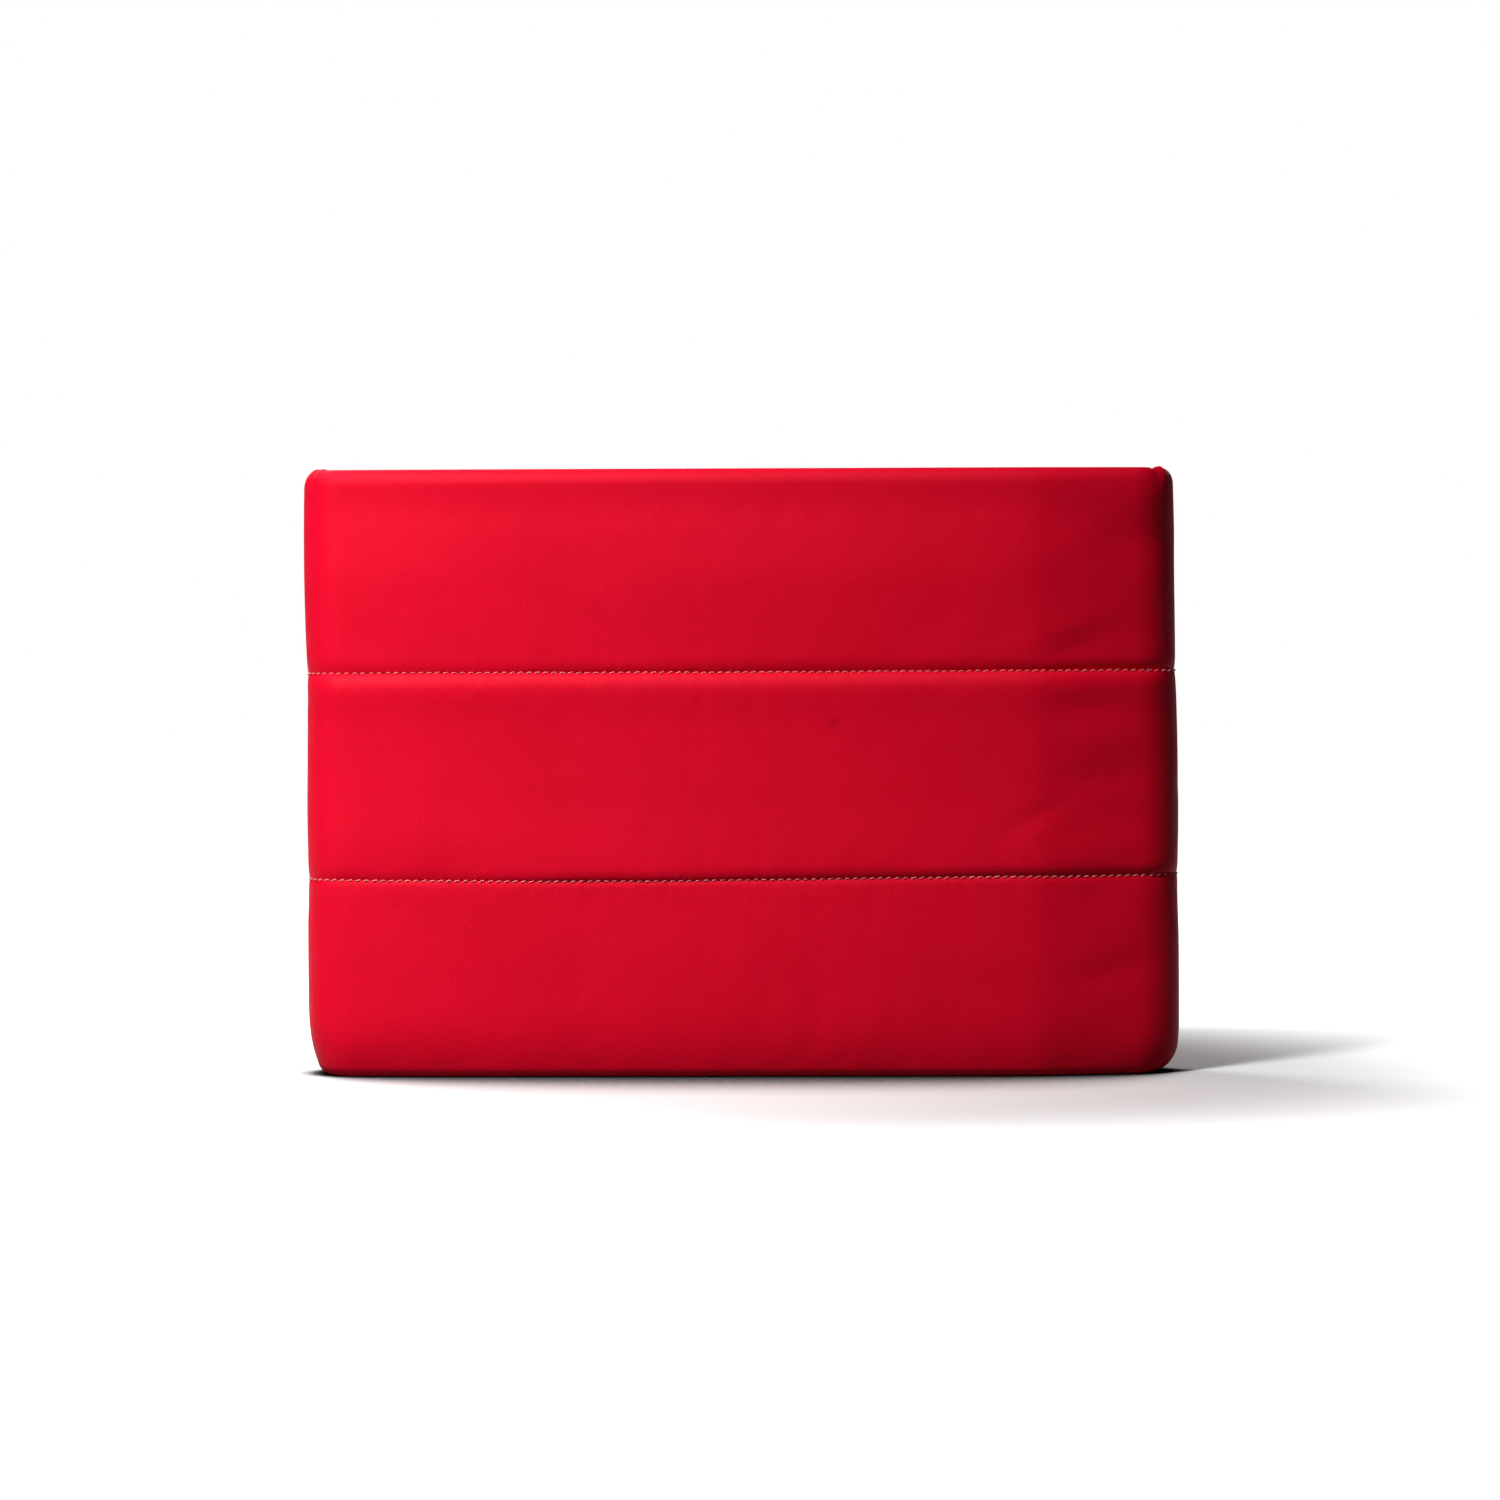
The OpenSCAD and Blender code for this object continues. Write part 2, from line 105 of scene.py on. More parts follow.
class Plan:
    """The case's outline seen from above, as a path that starts at the middle of the back."""

    def __init__(self, half_x, half_y, radius):
        self.hx, self.hy, self.r = half_x, half_y, radius
        self.sx, self.sy = half_x - radius, half_y - radius
        arc = math.pi * radius / 2
        self.parts = np.cumsum([
            0, self.sx, arc, 2 * self.sy, arc, 2 * self.sx, arc, 2 * self.sy, arc, self.sx])
        self.length = self.parts[-1]

    def at(self, s):
        """Points and outward normals at lengths s: back, left end, front, right end, back."""
        s = np.mod(s, self.length)
        x, y, nx, ny = np.zeros((4, len(s)))
        p, r, sx, sy = self.parts, self.r, self.sx, self.sy
        for i, cx, cy, start in ((1, -sx, sy, 90), (3, -sx, -sy, 180), (5, sx, -sy, 270), (7, sx, sy, 0)):
            m = (s >= p[i]) & (s < p[i + 1])
            a = np.radians(start) + (s[m] - p[i]) / r
            nx[m], ny[m] = np.cos(a), np.sin(a)
            x[m], y[m] = cx + r * nx[m], cy + r * ny[m]
        # Each straight part starts at a point and runs a quarter turn ahead of its normal
        straights = [
            (0, 0, self.hy, 0, 1), (2, -self.hx, sy, -1, 0), (4, -sx, -self.hy, 0, -1),
            (6, self.hx, -sy, 1, 0), (8, sx, self.hy, 0, 1)]
        for i, start_x, start_y, out_x, out_y in straights:
            m = (s >= p[i]) & (s < p[i + 1])
            d = s[m] - p[i]
            x[m], y[m] = start_x - out_y * d, start_y + out_x * d
            nx[m], ny[m] = out_x, out_y
        return x, y, nx, ny


PLAN = Plan(HALF_W, HALF_D, CORNER_R)
STITCH_COUNT = round(PLAN.length / STITCH_PITCH)
COLUMNS = STITCH_COUNT * COLUMNS_PER_STITCH
S = (np.arange(COLUMNS) + 0.5) * PLAN.length / COLUMNS
PX, PY, NX, NY = PLAN.at(S)  # each column's place on the plan, and its outward normal
FRONTNESS = np.clip(-NY, 0, 1)  # 1 on the front, 0 on the ends and the back
FLATNESS = np.abs(NY)  # 1 on the front and the back, 0 on the ends

# ---------------------------------------------------------------- profiles: depth into the wall, height

# Rows get closer towards a seam and towards the base
EDGE_STEPS = MM * np.array([
    0, 0.03, 0.12, 0.27, 0.48, 0.75, 1.05, 1.4, 1.8, 2.25, 2.75, 3.3, 3.9, 4.6, 5.4, 6.4, 7.6, 9])
BASE_STEPS = MM * np.array([
    0, 0.015, 0.06, 0.14, 0.26, 0.42, 0.62, 0.88, 1.2, 1.6, 2.1, 2.7, 3.4, 4.2, 5.2, 6.4, 7.8])
# How far each channel's edge curls in to its seam: stretched nearly flat at the ends
CURL_ABOVE = (0.4 + 1.5 * FLATNESS ** 2 + 0.7 * FRONTNESS * smooth((PX - 40 * MM) / (70 * MM))
              - 0.8 * FRONTNESS * smooth((-PX - 55 * MM) / (60 * MM))) * MM
CURL_BELOW_UPPER = (0.4 + 2.6 * FLATNESS ** 2 - 0.8 * FRONTNESS * smooth((PX - 105 * MM) / (40 * MM))) * MM
CURL_BELOW_LOWER = (0.4 + 0.3 * FLATNESS ** 2) * MM
CREST = 4.2 * MM  # from the outer face to the top of the rim's roll
RIM_DROP = 6.2 * MM  # height of the rim's outer roll
INNER_DROP = 5.5 * MM  # and of its inner one
WALL_TOP = RIM_Z - RIM_DROP


def middle_heights(low, high, step=1.6 * MM):
    return np.linspace(low, high, max(3, round((high - low) / step) + 1))[1:-1]


def curl(h, depth, height):
    """How far a channel's edge curls in, at a distance h from its seam: most of a quarter round."""
    full = 0.94
    t = full * np.clip(1 - h / height, 0, 1)
    arc = (1 - np.sqrt(1 - t * t)) / (1 - math.sqrt(1 - full ** 2))
    return depth * (0.72 * arc + 0.28 * np.exp(-h / (2.3 * MM)))


def base_curl(z):
    """The lower edge: a long easy curve and then a tight turn under, and a rounder one at the right end."""
    easy = (5.0 - 0.8 * FLATNESS ** 2) * MM * np.clip(1 - z / (30 * MM), 0, 1) ** 2.6
    t = np.clip(1 - z / (3.6 * MM), 0, 1)
    turn = easy + (4.0 - 1.4 * FLATNESS ** 2) * MM * (1 - np.sqrt(1 - t * t))
    # the right end is straighter, and its corner one round curve
    t = np.clip(1 - z / (11 * MM), 0, 1)
    round_turn = 2.0 * MM * np.clip(1 - z / (20 * MM), 0, 1) ** 2 + 8.5 * MM * (1 - np.sqrt(1 - t * t))
    right = (1 - FLATNESS ** 2) * (PX > 0)
    return turn * (1 - right) + round_turn * right


def upper_rows():
    """Heights and depths of the upper band: from its seam over the rim and down into the mouth."""
    low = UPPER_SEAM_Z + EDGE_STEPS
    wall = np.concatenate([low, middle_heights(low[-1], WALL_TOP), [WALL_TOP]])
    u = curl(wall[:, None] - UPPER_SEAM_Z, CURL_ABOVE, 5.6 * MM)
    z = np.repeat(wall[:, None], COLUMNS, 1)
    turns = np.radians(np.linspace(0, 90, 15)[1:])[:, None] * np.ones(COLUMNS)
    outer_u, outer_z = CREST * (1 - np.cos(turns)), WALL_TOP + RIM_DROP * np.sin(turns)
    inner_r = WALL - CREST
    inner_u, inner_z = CREST + inner_r * np.sin(turns), RIM_Z - INNER_DROP * (1 - np.cos(turns))
    end_z = np.linspace(RIM_Z - INNER_DROP, FACING_END_Z, 4)[1:, None] * np.ones(COLUMNS)
    return (np.concatenate([u, outer_u, inner_u, np.full_like(end_z, WALL)]),
            np.concatenate([z, outer_z, inner_z, end_z]))


def band_rows(z0, z1):
    low, high = z0 + EDGE_STEPS, z1 - EDGE_STEPS[::-1]
    z = np.concatenate([low, middle_heights(low[-1], high[0]), high])[:, None] * np.ones(COLUMNS)
    lower_edge = curl(z - z0, CURL_ABOVE, 5.0 * MM)
    return lower_edge + curl(z1 - z, CURL_BELOW_UPPER, 7.0 * MM), z


def lower_rows():
    high = LOWER_SEAM_Z - EDGE_STEPS[::-1]
    heights = np.concatenate([BASE_STEPS, middle_heights(BASE_STEPS[-1], high[0]), high])
    z = heights[:, None] * np.ones(COLUMNS)
    return base_curl(z) + curl(LOWER_SEAM_Z - z, CURL_BELOW_LOWER, 3.0 * MM), z


# ---------------------------------------------------------------- folds, bulges and dents

# Soft bulges and dents of the front: x, z, half width, half height, turn in degrees, rise (all mm)
FRONT_RELIEF = [
    (130, 206, 16, 7, 20, 0.45),
    (119, 192, 12, 15, 0, -0.40),
    (96, 190, 11, 20, -8, 0.35),
    (130, 166, 20, 5, 18, -0.35),
    (128, 174, 18, 5, 18, 0.35),
    (138, 144, 17, 5, 4, -0.45),
    (138, 130, 17, 6, -3, 0.50),
    (134, 115, 19, 5, 3, -0.45),
    (114, 101, 15, 4, 28, -0.50),
    (138, 88, 18, 6, 10, 0.45),
    (142, 40, 15, 5, 16, -0.45),
    (150, 62, 8, 10, 0, 0.35),
    (152, 12, 10, 9, 0, 0.60),
    (96, 43, 14, 15, 20, 0.35),
    (28, 28, 6, 17, -4, -0.35),
    (50, 22, 6, 14, -6, 0.35),
    (9, 32, 7, 17, -8, -0.30),
    (-146, 14, 14, 9, 8, 0.50),
    (-124, 100, 7, 40, 0, 0.25),
    (-105, 190, 20, 16, 16, -0.30),
    (-60, 196, 30, 9, 6, -0.35),
]

# The same for the back, which nothing shows: made up, in the same manner
BACK_RELIEF = [
    (-132, 200, 15, 8, -15, 0.40),
    (-120, 126, 16, 5, 10, -0.40),
    (-134, 110, 17, 6, -6, 0.45),
    (-126, 40, 16, 6, -20, -0.40),
    (128, 30, 14, 8, 12, 0.45),
    (136, 176, 15, 6, -14, -0.40),
    (110, 120, 12, 16, 8, 0.35),
    (-20, 22, 7, 16, 5, -0.35),
    (40, 190, 30, 10, -5, -0.35),
]


def relief(x, z, table):
    total = np.zeros(np.broadcast(x, z).shape)
    for cx, cz, rx, rz, turn, rise in table:
        c, s = math.cos(math.radians(turn)), math.sin(math.radians(turn))
        dx, dz = x - cx * MM, z - cz * MM
        u = (dx * c + dz * s) / (rx * MM)
        v = (dz * c - dx * s) / (rz * MM)
        total += rise * MM * bell(u) * bell(v)
    return total


def swell(s, z, seed, waves=14, longest=0.22, shortest=0.035):
    """A gentle unevenness: waves of many lengths and ways that join up round the case."""
    rng = np.random.default_rng(seed)
    total = np.zeros(np.broadcast(s, z).shape)
    for _ in range(waves):
        length = longest * (shortest / longest) ** rng.random()
        turns = max(1, round(PLAN.length / length))
        way = rng.normal()
        phase = rng.random() * 2 * math.pi
        total += np.sin(2 * math.pi * turns * s / PLAN.length + way * z / length * 5 + phase) * length
    return total / np.abs(total).max()


def soft_corner(d, width):
    """0 before d = 0 and d after it, with a rounded corner."""
    return width * np.logaddexp(0, d / width)


def front_set(x, slope=0.2):
    """How far the front stands out: nearly flat, then sloping in towards each end."""
    right = slope * soft_corner(x - 114 * MM, 2.5 * MM)
    left = 0.05 * soft_corner(-x - 121 * MM, 4 * MM)
    return 2.0 * MM - 0.5 * MM * (x / (110 * MM)) ** 2 - right - left


def rim_set(x):
    """The same for the rim, which is held straighter."""
    return front_set(x, 0.11)


def back_set(x):
    ends = 0.03 * soft_corner(np.abs(x) - 118 * MM, 5 * MM)
    return 1.2 * MM - 0.5 * MM * (x / (110 * MM)) ** 2 - ends


def set_plan(front, back):
    """The plan with its front and back set out or in, and its corners and ends drawn to meet them."""
    x, y = PX.copy(), PY.copy()
    corner_x = HALF_W - CORNER_R
    centres = {}
    for sy, set_out in ((-1, front), (1, back)):
        side = NY * sy > 0.99999
        y[side] = sy * (HALF_D + set_out(PX[side]))
        for sx in (-1, 1):
            edge = sx * corner_x
            slope = (set_out(edge - sx * 0.1 * MM) - set_out(edge)) / (0.1 * MM)
            start = math.atan(slope)
            r = CORNER_R / (1 - math.sin(start))
            cx, cy = edge - sx * r * math.sin(start), sy * (HALF_D + set_out(edge) - r * math.cos(start))
            centres[sx, sy] = cy
            corner = (NX * sx > 1e-5) & (NY * sy > 1e-5)
            share = np.arctan2(np.abs(NX), np.abs(NY))[corner] / (math.pi / 2)
            turn = start + (math.pi / 2 - start) * share
            x[corner], y[corner] = cx + sx * r * np.sin(turn), cy + sy * r * np.cos(turn)
    half = HALF_D - CORNER_R
    for sx in (-1, 1):
        end = NX * sx > 0.99999
        share = (PY[end] + half) / (2 * half)
        y[end] = centres[sx, -1] * (1 - share) + centres[sx, 1] * share
    dx, dy = np.roll(x, -1) - np.roll(x, 1), np.roll(y, -1) - np.roll(y, 1)
    size = np.hypot(dx, dy)
    return x, y, dy / size, -dx / size


WALL_PLAN = set_plan(front_set, back_set)
RIM_PLAN = set_plan(rim_set, back_set)


# How the front's channels swell and hollow, lower, middle and upper: height, set out (mm)
FRONT_SWELL = MM * np.array([
    (0, 0), (30, 0.1), (50, 0.1), (66, -0.2), (76.9, -0.4),
    (77.1, 1.1), (86, 0.9), (105, 0.1), (125, 0.0), (140, 0.4), (149, 1.3), (156.9, 1.4),
    (157.1, -0.3), (170, 0.0), (195, 0.9), (212, 0.2), (221, -0.4), (229, 0.0), (236, 0.0)])


def swell_front(z, z0, z1):
    """FRONT_SWELL with its corners rounded off within each channel."""
    total = np.zeros_like(z)
    spread = np.linspace(-5, 5, 11) * MM
    inside = 0.2 * MM  # keeps clear of the step at a seam
    for d in spread:
        total += np.interp(np.clip(z + d, z0 + inside, z1 - inside), *FRONT_SWELL.T)
    return total / len(spread)


def overhang(x, z):
    """The middle channel hangs over the lower one, less so at the left."""
    near = bell((z - LOWER_SEAM_Z) / (14 * MM))
    return 1 - 0.75 * near * smooth((-x - 55 * MM) / (60 * MM))


def seam_line(x, which):
    """How far a seam lies off its level on the front, from left to right."""
    if which == "upper":
        dip = 0.17 * MM * bell(x / (60 * MM))
        left = 0.2 * MM * smooth((-x - 60 * MM) / (60 * MM))
        return -0.55 * MM - dip + left + 0.06 * MM * np.sin(x * 140)
    if which == "lower":
        sag = -1.0 * MM * bell((x + 55 * MM) / (88 * MM))
        return sag - 0.3 * MM * x / (320 * MM) + 0.06 * MM * np.sin(x * 120 + 2)
    return 0.0 * x


def lean(z):
    """The case stands a little askew: its lower half lies to the right of its upper half."""
    return 0.58 * MM - 1.35 * MM * smooth((z - 115 * MM) / (90 * MM)) - SKEW * (z - 126 * MM)


def end_width(z, x):
    """The ends stand out a little below the rim, the right one more."""
    right = (0.6 + 0.6 * smooth((RIM_Z - 8 * MM - z) / (20 * MM))) * MM
    left = 0.7 * MM * smooth((150 * MM - z) / (50 * MM))
    return np.where(x > 0, right, left)


def place(u, z, z0, z1, seed, low_seam, high_seam, slack=0.0):
    """The points of a band: swept round the plan, then puffed, creased and puckered."""
    s = np.broadcast_to(S, z.shape)
    along = np.broadcast_to(PX, z.shape)
    share = np.clip((z - z0) / (z1 - z0), 0, 1)
    front, back = FRONTNESS ** 2, np.clip(NY, 0, 1) ** 2
    # 0 at the band's seams and 1 away from them; the base and the rim have none
    below = z - z0 + (0.02 if low_seam is None else 0)
    above = z1 - z + (0.02 if high_seam is None else 0)
    open_wall = smooth(np.minimum(below, above) / (7 * MM))

    rise = (front * relief(along, z, FRONT_RELIEF) + back * relief(-along, z, BACK_RELIEF)) * open_wall
    rise = rise + (0.22 * MM * swell(s, z, seed) + slack) * open_wall
    rise = rise + (front * overhang(along, z) + 0.6 * back) * swell_front(z, z0, z1)
    end_swell = 0.5 * MM * (1 - np.abs(2 * share - 1) ** 3) + end_width(z, along)
    rise = rise + (1 - FLATNESS ** 2) * end_swell

    # Stitches pull the fabric down between them, and small puckers run from the seam
    rng = np.random.default_rng(seed + 1)
    drift = np.interp(S, np.linspace(0, PLAN.length, 121), rng.random(121))
    stitch = np.cos(2 * math.pi * STITCH_COUNT * s / PLAN.length)
    pucker = np.sin(2 * math.pi * (96 * s / PLAN.length + 1.8 * drift))
    for seam_z, seam in ((z0, low_seam), (z1, high_seam)):
        if seam:
            gap = np.abs(z - seam_z)
            rise = rise + 0.05 * MM * stitch * np.exp(-gap / (1.2 * MM))
            near = np.exp(-gap / (5 * MM)) * smooth(gap / (1.5 * MM))
            rise = rise + 0.09 * MM * pucker * (0.3 + drift) * near

    # The wall sits on its own plan; the rim runs from its plan to the lining, which stays where it is
    ox, oy, onx, ony = WALL_PLAN
    rx, ry, rnx, rny = RIM_PLAN
    deep = np.clip(u / WALL, 0, 1)
    give = 1 - deep
    inner_x, inner_y = PX - NX * WALL, PY - NY * WALL
    rim = smooth((z - (RIM_Z - 30 * MM)) / (22 * MM))
    x = (ox - onx * (u - rise)) * (1 - rim) + (rx * give + inner_x * deep + rnx * rise * give) * rim
    y = (oy - ony * (u - rise)) * (1 - rim) + (ry * give + inner_y * deep + rny * rise * give) * rim
    low, high = seam_line(PX, low_seam), seam_line(PX, high_seam)
    height = z + (low * (1 - share) + high * share) * smooth(z / (12 * MM))
    height = height + SKEW * PX * smooth(z / (60 * MM)) * give
    return np.stack([x + lean(z), y, height], 2)


def rim_tucks(points):
    """Gathers the fabric at the rim's corners, into two ridges with a nick or a ridge and a dip."""
    x, y, z = points[..., 0], points[..., 1], points[..., 2]
    top = smooth((z - (RIM_Z - 10 * MM)) / (9 * MM))
    for sx in (-1, 1):
        for sy in (-1, 1):
            ax = sx * (HALF_W - CORNER_R)
            ay = sy * (HALF_D - CORNER_R)
            turn = np.degrees(np.arctan2((y - ay) * sy, (x - ax) * sx))
            near = ((x - ax) * sx > -3 * MM) & ((y - ay) * sy > -3 * MM)
            if sx * sy > 0:
                ridge = 0.5 * bell((turn - 43) / 7) - 0.55 * bell((turn - 33) / 4)
                ridge = ridge + 0.5 * bell((turn - 23) / 7)
            else:
                ridge = 0.6 * bell((turn - 24) / 8) - 0.4 * bell((turn - 47) / 9)
            pinch = near * top * ridge * MM
            z = z + pinch
            x = x + sx * 0.5 * pinch
            y = y + sy * 0.7 * pinch
    return np.stack([x, y, z], 2)


# ---------------------------------------------------------------- cloth simulation


def hermite(knots, values, at):
    """Smooth interpolation of rows of values, given at uneven knots."""
    slopes = np.gradient(values, knots, axis=0)
    i = np.clip(np.searchsorted(knots, at) - 1, 0, len(knots) - 2)
    h = (knots[i + 1] - knots[i])[:, None]
    t = (np.clip(at, knots[0], knots[-1])[:, None] - knots[i][:, None]) / h
    a, b = values[i], values[i + 1]
    return (a * (1 + 2 * t) * (1 - t) ** 2 + slopes[i] * h * t * (1 - t) ** 2
            + b * t * t * (3 - 2 * t) + slopes[i + 1] * h * t * t * (t - 1))


COARSE = 5  # columns to one column of the simulated cloth
STEPS = 20  # frames that it runs for
WRINKLE = 0.09 * MM  # the most that a wrinkle stands out


def simulate(points, rows):
    """Blows a coarse cloth copy of a band out from its pinned seams: how far each of its points moves."""
    coarse = points[rows][:, ::COARSE]
    obj = grid_object("cloth_copy", coarse, wrap_cols=True)
    count = coarse.shape[1]
    pins = obj.vertex_groups.new(name="pins")
    last = (len(rows) - 1) * count
    pins.add([*range(count), *range(last, last + count)], 1.0, "REPLACE")
    settings = obj.modifiers.new("cloth", "CLOTH").settings
    values = dict(
        quality=6, mass=0.2, tension_stiffness=25, compression_stiffness=25, shear_stiffness=10,
        bending_stiffness=3, use_pressure=True, uniform_pressure_force=4, shrink_min=-0.003,
        vertex_group_mass="pins")
    for key, value in values.items():
        setattr(settings, key, value)
    settings.effector_weights.gravity = 0
    for step in range(1, STEPS + 1):
        bpy.context.scene.frame_set(step)
    moved = obj.evaluated_get(bpy.context.evaluated_depsgraph_get()).data
    after = np.empty(len(moved.vertices) * 3)
    moved.vertices.foreach_get("co", after)
    mesh = obj.data
    bpy.data.objects.remove(obj)
    bpy.data.meshes.remove(mesh)
    bpy.context.scene.frame_set(1)
    shift = after.reshape(coarse.shape) - coarse
    return shift[..., 0] * NX[None, ::COARSE] + shift[..., 1] * NY[None, ::COARSE]


def slack_of(points, z, low, high):
    """The wrinkles that the simulated cloth of a band takes, without its overall swelling."""
    heights = z[:, 0]
    targets = np.arange(low, high + 1 * MM, 5 * MM)
    rows = sorted({int(np.abs(heights - t).argmin()) for t in targets})
    out = simulate(points, rows)
    swelling = np.fft.rfft(out, axis=1)
    swelling *= bell(np.arange(swelling.shape[1]) / 9.0)
    wrinkles = out - np.fft.irfft(swelling, n=out.shape[1], axis=1)
    wrinkles = WRINKLE * np.tanh(wrinkles / (0.4 * MM))
    around = np.concatenate([wrinkles[:, -3:], wrinkles, wrinkles[:, :3]], 1)
    knots = (np.arange(around.shape[1]) - 3.0) * COARSE
    full = hermite(knots, around.T, np.arange(COLUMNS, dtype=float)).T
    field = hermite(heights[rows], full, heights)
    inside = smooth((heights - low) / (6 * MM)) * smooth((high - heights) / (6 * MM))
    return field * inside[:, None]


# ---------------------------------------------------------------- making meshes


def add_object(name, data):
    obj = bpy.data.objects.new(name, data)
    bpy.context.scene.collection.objects.link(obj)
    return obj


def new_mesh(name, verts, faces, smooth_shading=True):
    mesh = bpy.data.meshes.new(name)
    mesh.from_pydata(verts, [], faces)
    mesh.update()
    if smooth_shading:
        mesh.polygons.foreach_set("use_smooth", [True] * len(mesh.polygons))
    return add_object(name, mesh)


def grid_faces(rows, cols, wrap_rows, wrap_cols):
    i = np.arange(rows if wrap_rows else rows - 1)[:, None]
    j = np.arange(cols if wrap_cols else cols - 1)[None, :]
    i1, j1 = (i + 1) % rows, (j + 1) % cols
    quads = np.stack([i * cols + j, i * cols + j1, i1 * cols + j1, i1 * cols + j], 2)
    return quads.reshape(-1, 4)


def tube_faces(rows, cols, closed=False):
    """Faces of a tube through rings of points, capped at its ends unless it closes on itself."""
    faces = grid_faces(rows, cols, closed, True).tolist()
    if not closed:
        faces += [list(range(cols))[::-1], list(range((rows - 1) * cols, rows * cols))]
    return faces


def face_outwards(obj, more_faces=()):
    """Adds faces, each given by its points' numbers, and turns all of them outwards."""
    bm = bmesh.new()
    bm.from_mesh(obj.data)
    bm.verts.ensure_lookup_table()
    for face in more_faces:
        bm.faces.new([bm.verts[i] for i in face])
    bmesh.ops.recalc_face_normals(bm, faces=bm.faces)
    bm.to_mesh(obj.data)
    bm.free()


def round_edges(obj, width, segments):
    bevel = obj.modifiers.new("edges", "BEVEL")
    bevel.width = width
    bevel.segments = segments
    bevel.limit_method = "ANGLE"


def lay_flat(obj, flat):
    """Gives each point its place on the flat fabric."""
    layer = obj.data.uv_layers.new(name="cloth")
    for loop in obj.data.loops:
        layer.data[loop.index].uv = flat[loop.vertex_index]


def grid_object(name, points, wrap_rows=False, wrap_cols=False, cloth=None):
    """An object from a grid of points; cloth holds each point's place on the flat fabric, in metres."""
    rows, cols = points.shape[:2]
    faces = grid_faces(rows, cols, wrap_rows, wrap_cols)
    obj = new_mesh(name, points.reshape(-1, 3).tolist(), faces.tolist())
    if cloth is not None:
        layer = obj.data.uv_layers.new(name="cloth")
        loops = np.empty(len(obj.data.loops), dtype=np.int32)
        obj.data.loops.foreach_get("vertex_index", loops)
        flat = cloth.reshape(-1, 2)[loops]
        # The last column of a closed ring meets the first one: carry the fabric on past it
        if wrap_cols:
            flat = flat.reshape(-1, 4, 2).copy()
            wrapped = (flat[:, :, 0].max(1) - flat[:, :, 0].min(1)) > 0.5 * PLAN.length
            small = flat[:, :, 0] < 0.5 * PLAN.length
            flat[..., 0] += np.where(wrapped[:, None] & small, PLAN.length, 0)
            flat = flat.reshape(-1, 2)
        layer.data.foreach_set("uv", flat.ravel().astype(np.float32))
    return obj


def lengths_along(u, z):
    return np.concatenate([[0], np.cumsum(np.hypot(np.diff(u), np.diff(z)))])


def cloth_places(u, z):
    along = lengths_along(u[:, COLUMNS // 2], z[:, COLUMNS // 2])
    return np.stack(np.broadcast_arrays(S, along[:, None]), 2)


def close_ring(points, cloth, back_profile):
    """Adds the hidden inner face of a padded band, so that its mesh is closed."""
    depth, height = back_profile[:, 0:1], back_profile[:, 1:2]
    x, y = PX - NX * depth, PY - NY * depth
    back = np.stack([x, y, np.broadcast_to(height, x.shape)], 2)
    start = cloth[-1, 0, 1]
    along = start + lengths_along(*back_profile.T)[:, None]
    back_cloth = np.stack(np.broadcast_arrays(S, along), 2)
    return np.concatenate([points, back]), np.concatenate([cloth, back_cloth])


# ---------------------------------------------------------------- materials


class Nodes:
    """Short names for building a material's node tree."""

    def __init__(self, name):
        self.material = bpy.data.materials.new(name)
        self.material.use_nodes = True
        self.tree = self.material.node_tree
        self.tree.nodes.clear()
        self.out = self.tree.nodes.new("ShaderNodeOutputMaterial")
        self.shader = self.tree.nodes.new("ShaderNodeBsdfPrincipled")
        self.link(self.shader.outputs[0], self.out.inputs["Surface"])

    def link(self, a, b):
        self.tree.links.new(a, b)

    def node(self, kind, **inputs):
        n = self.tree.nodes.new("ShaderNode" + kind)
        for key, value in inputs.items():
            self.put(n.inputs[key.replace("_", " ")], value)
        return n

    def put(self, socket, value):
        if isinstance(value, bpy.types.NodeSocket):
            self.link(value, socket)
        else:
            socket.default_value = value

    def surface(self, **inputs):
        for key, value in inputs.items():
            self.put(self.shader.inputs[key.replace("_", " ")], value)

    def math(self, kind, a, b=0.0):
        n = self.tree.nodes.new("ShaderNodeMath")
        n.operation = kind
        self.put(n.inputs[0], a)
        self.put(n.inputs[1], b)
        return n.outputs[0]

    def times(self, a, b):
        return self.math("MULTIPLY", a, b)

    def plus(self, a, b):
        return self.math("ADD", a, b)

    def wave(self, value, turn):
        """A sine of the value, which turns by so many radians over a metre."""
        return self.math("SINE", self.times(value, turn))

    def ramp(self, value, low, high):
        n = self.tree.nodes.new("ShaderNodeMapRange")
        n.interpolation_type = "SMOOTHSTEP"
        self.put(n.inputs["Value"], value)
        self.put(n.inputs["From Min"], low)
        self.put(n.inputs["From Max"], high)
        return n.outputs["Result"]

    def mix(self, share, a, b):
        n = self.tree.nodes.new("ShaderNodeMix")
        n.data_type = "RGBA"
        self.put(n.inputs["Factor"], share)
        self.put(n.inputs[6], a)
        self.put(n.inputs[7], b)
        return n.outputs[2]

    def noise(self, vector, scale, detail=2.0, rough=0.5):
        n = self.node("TexNoise", Vector=vector, Scale=scale, Detail=detail, Roughness=rough)
        return n.outputs["Fac"]

    def bump(self, height, distance, strength=1.0, normal=None):
        n = self.node("Bump", Height=height, Distance=distance, Strength=strength)
        if normal is not None:
            self.link(normal, n.inputs["Normal"])
        return n.outputs["Normal"]

    def cloth(self):
        """The point's place on the flat fabric, in metres."""
        uv = self.tree.nodes.new("ShaderNodeUVMap")
        uv.uv_map = "cloth"
        xyz = self.tree.nodes.new("ShaderNodeSeparateXYZ")
        self.link(uv.outputs[0], xyz.inputs[0])
        return uv.outputs[0], xyz.outputs[0], xyz.outputs[1]

    def place(self):
        """The point's place in the row frame, in metres."""
        return self.tree.nodes.new("ShaderNodeTexCoord").outputs["Object"]


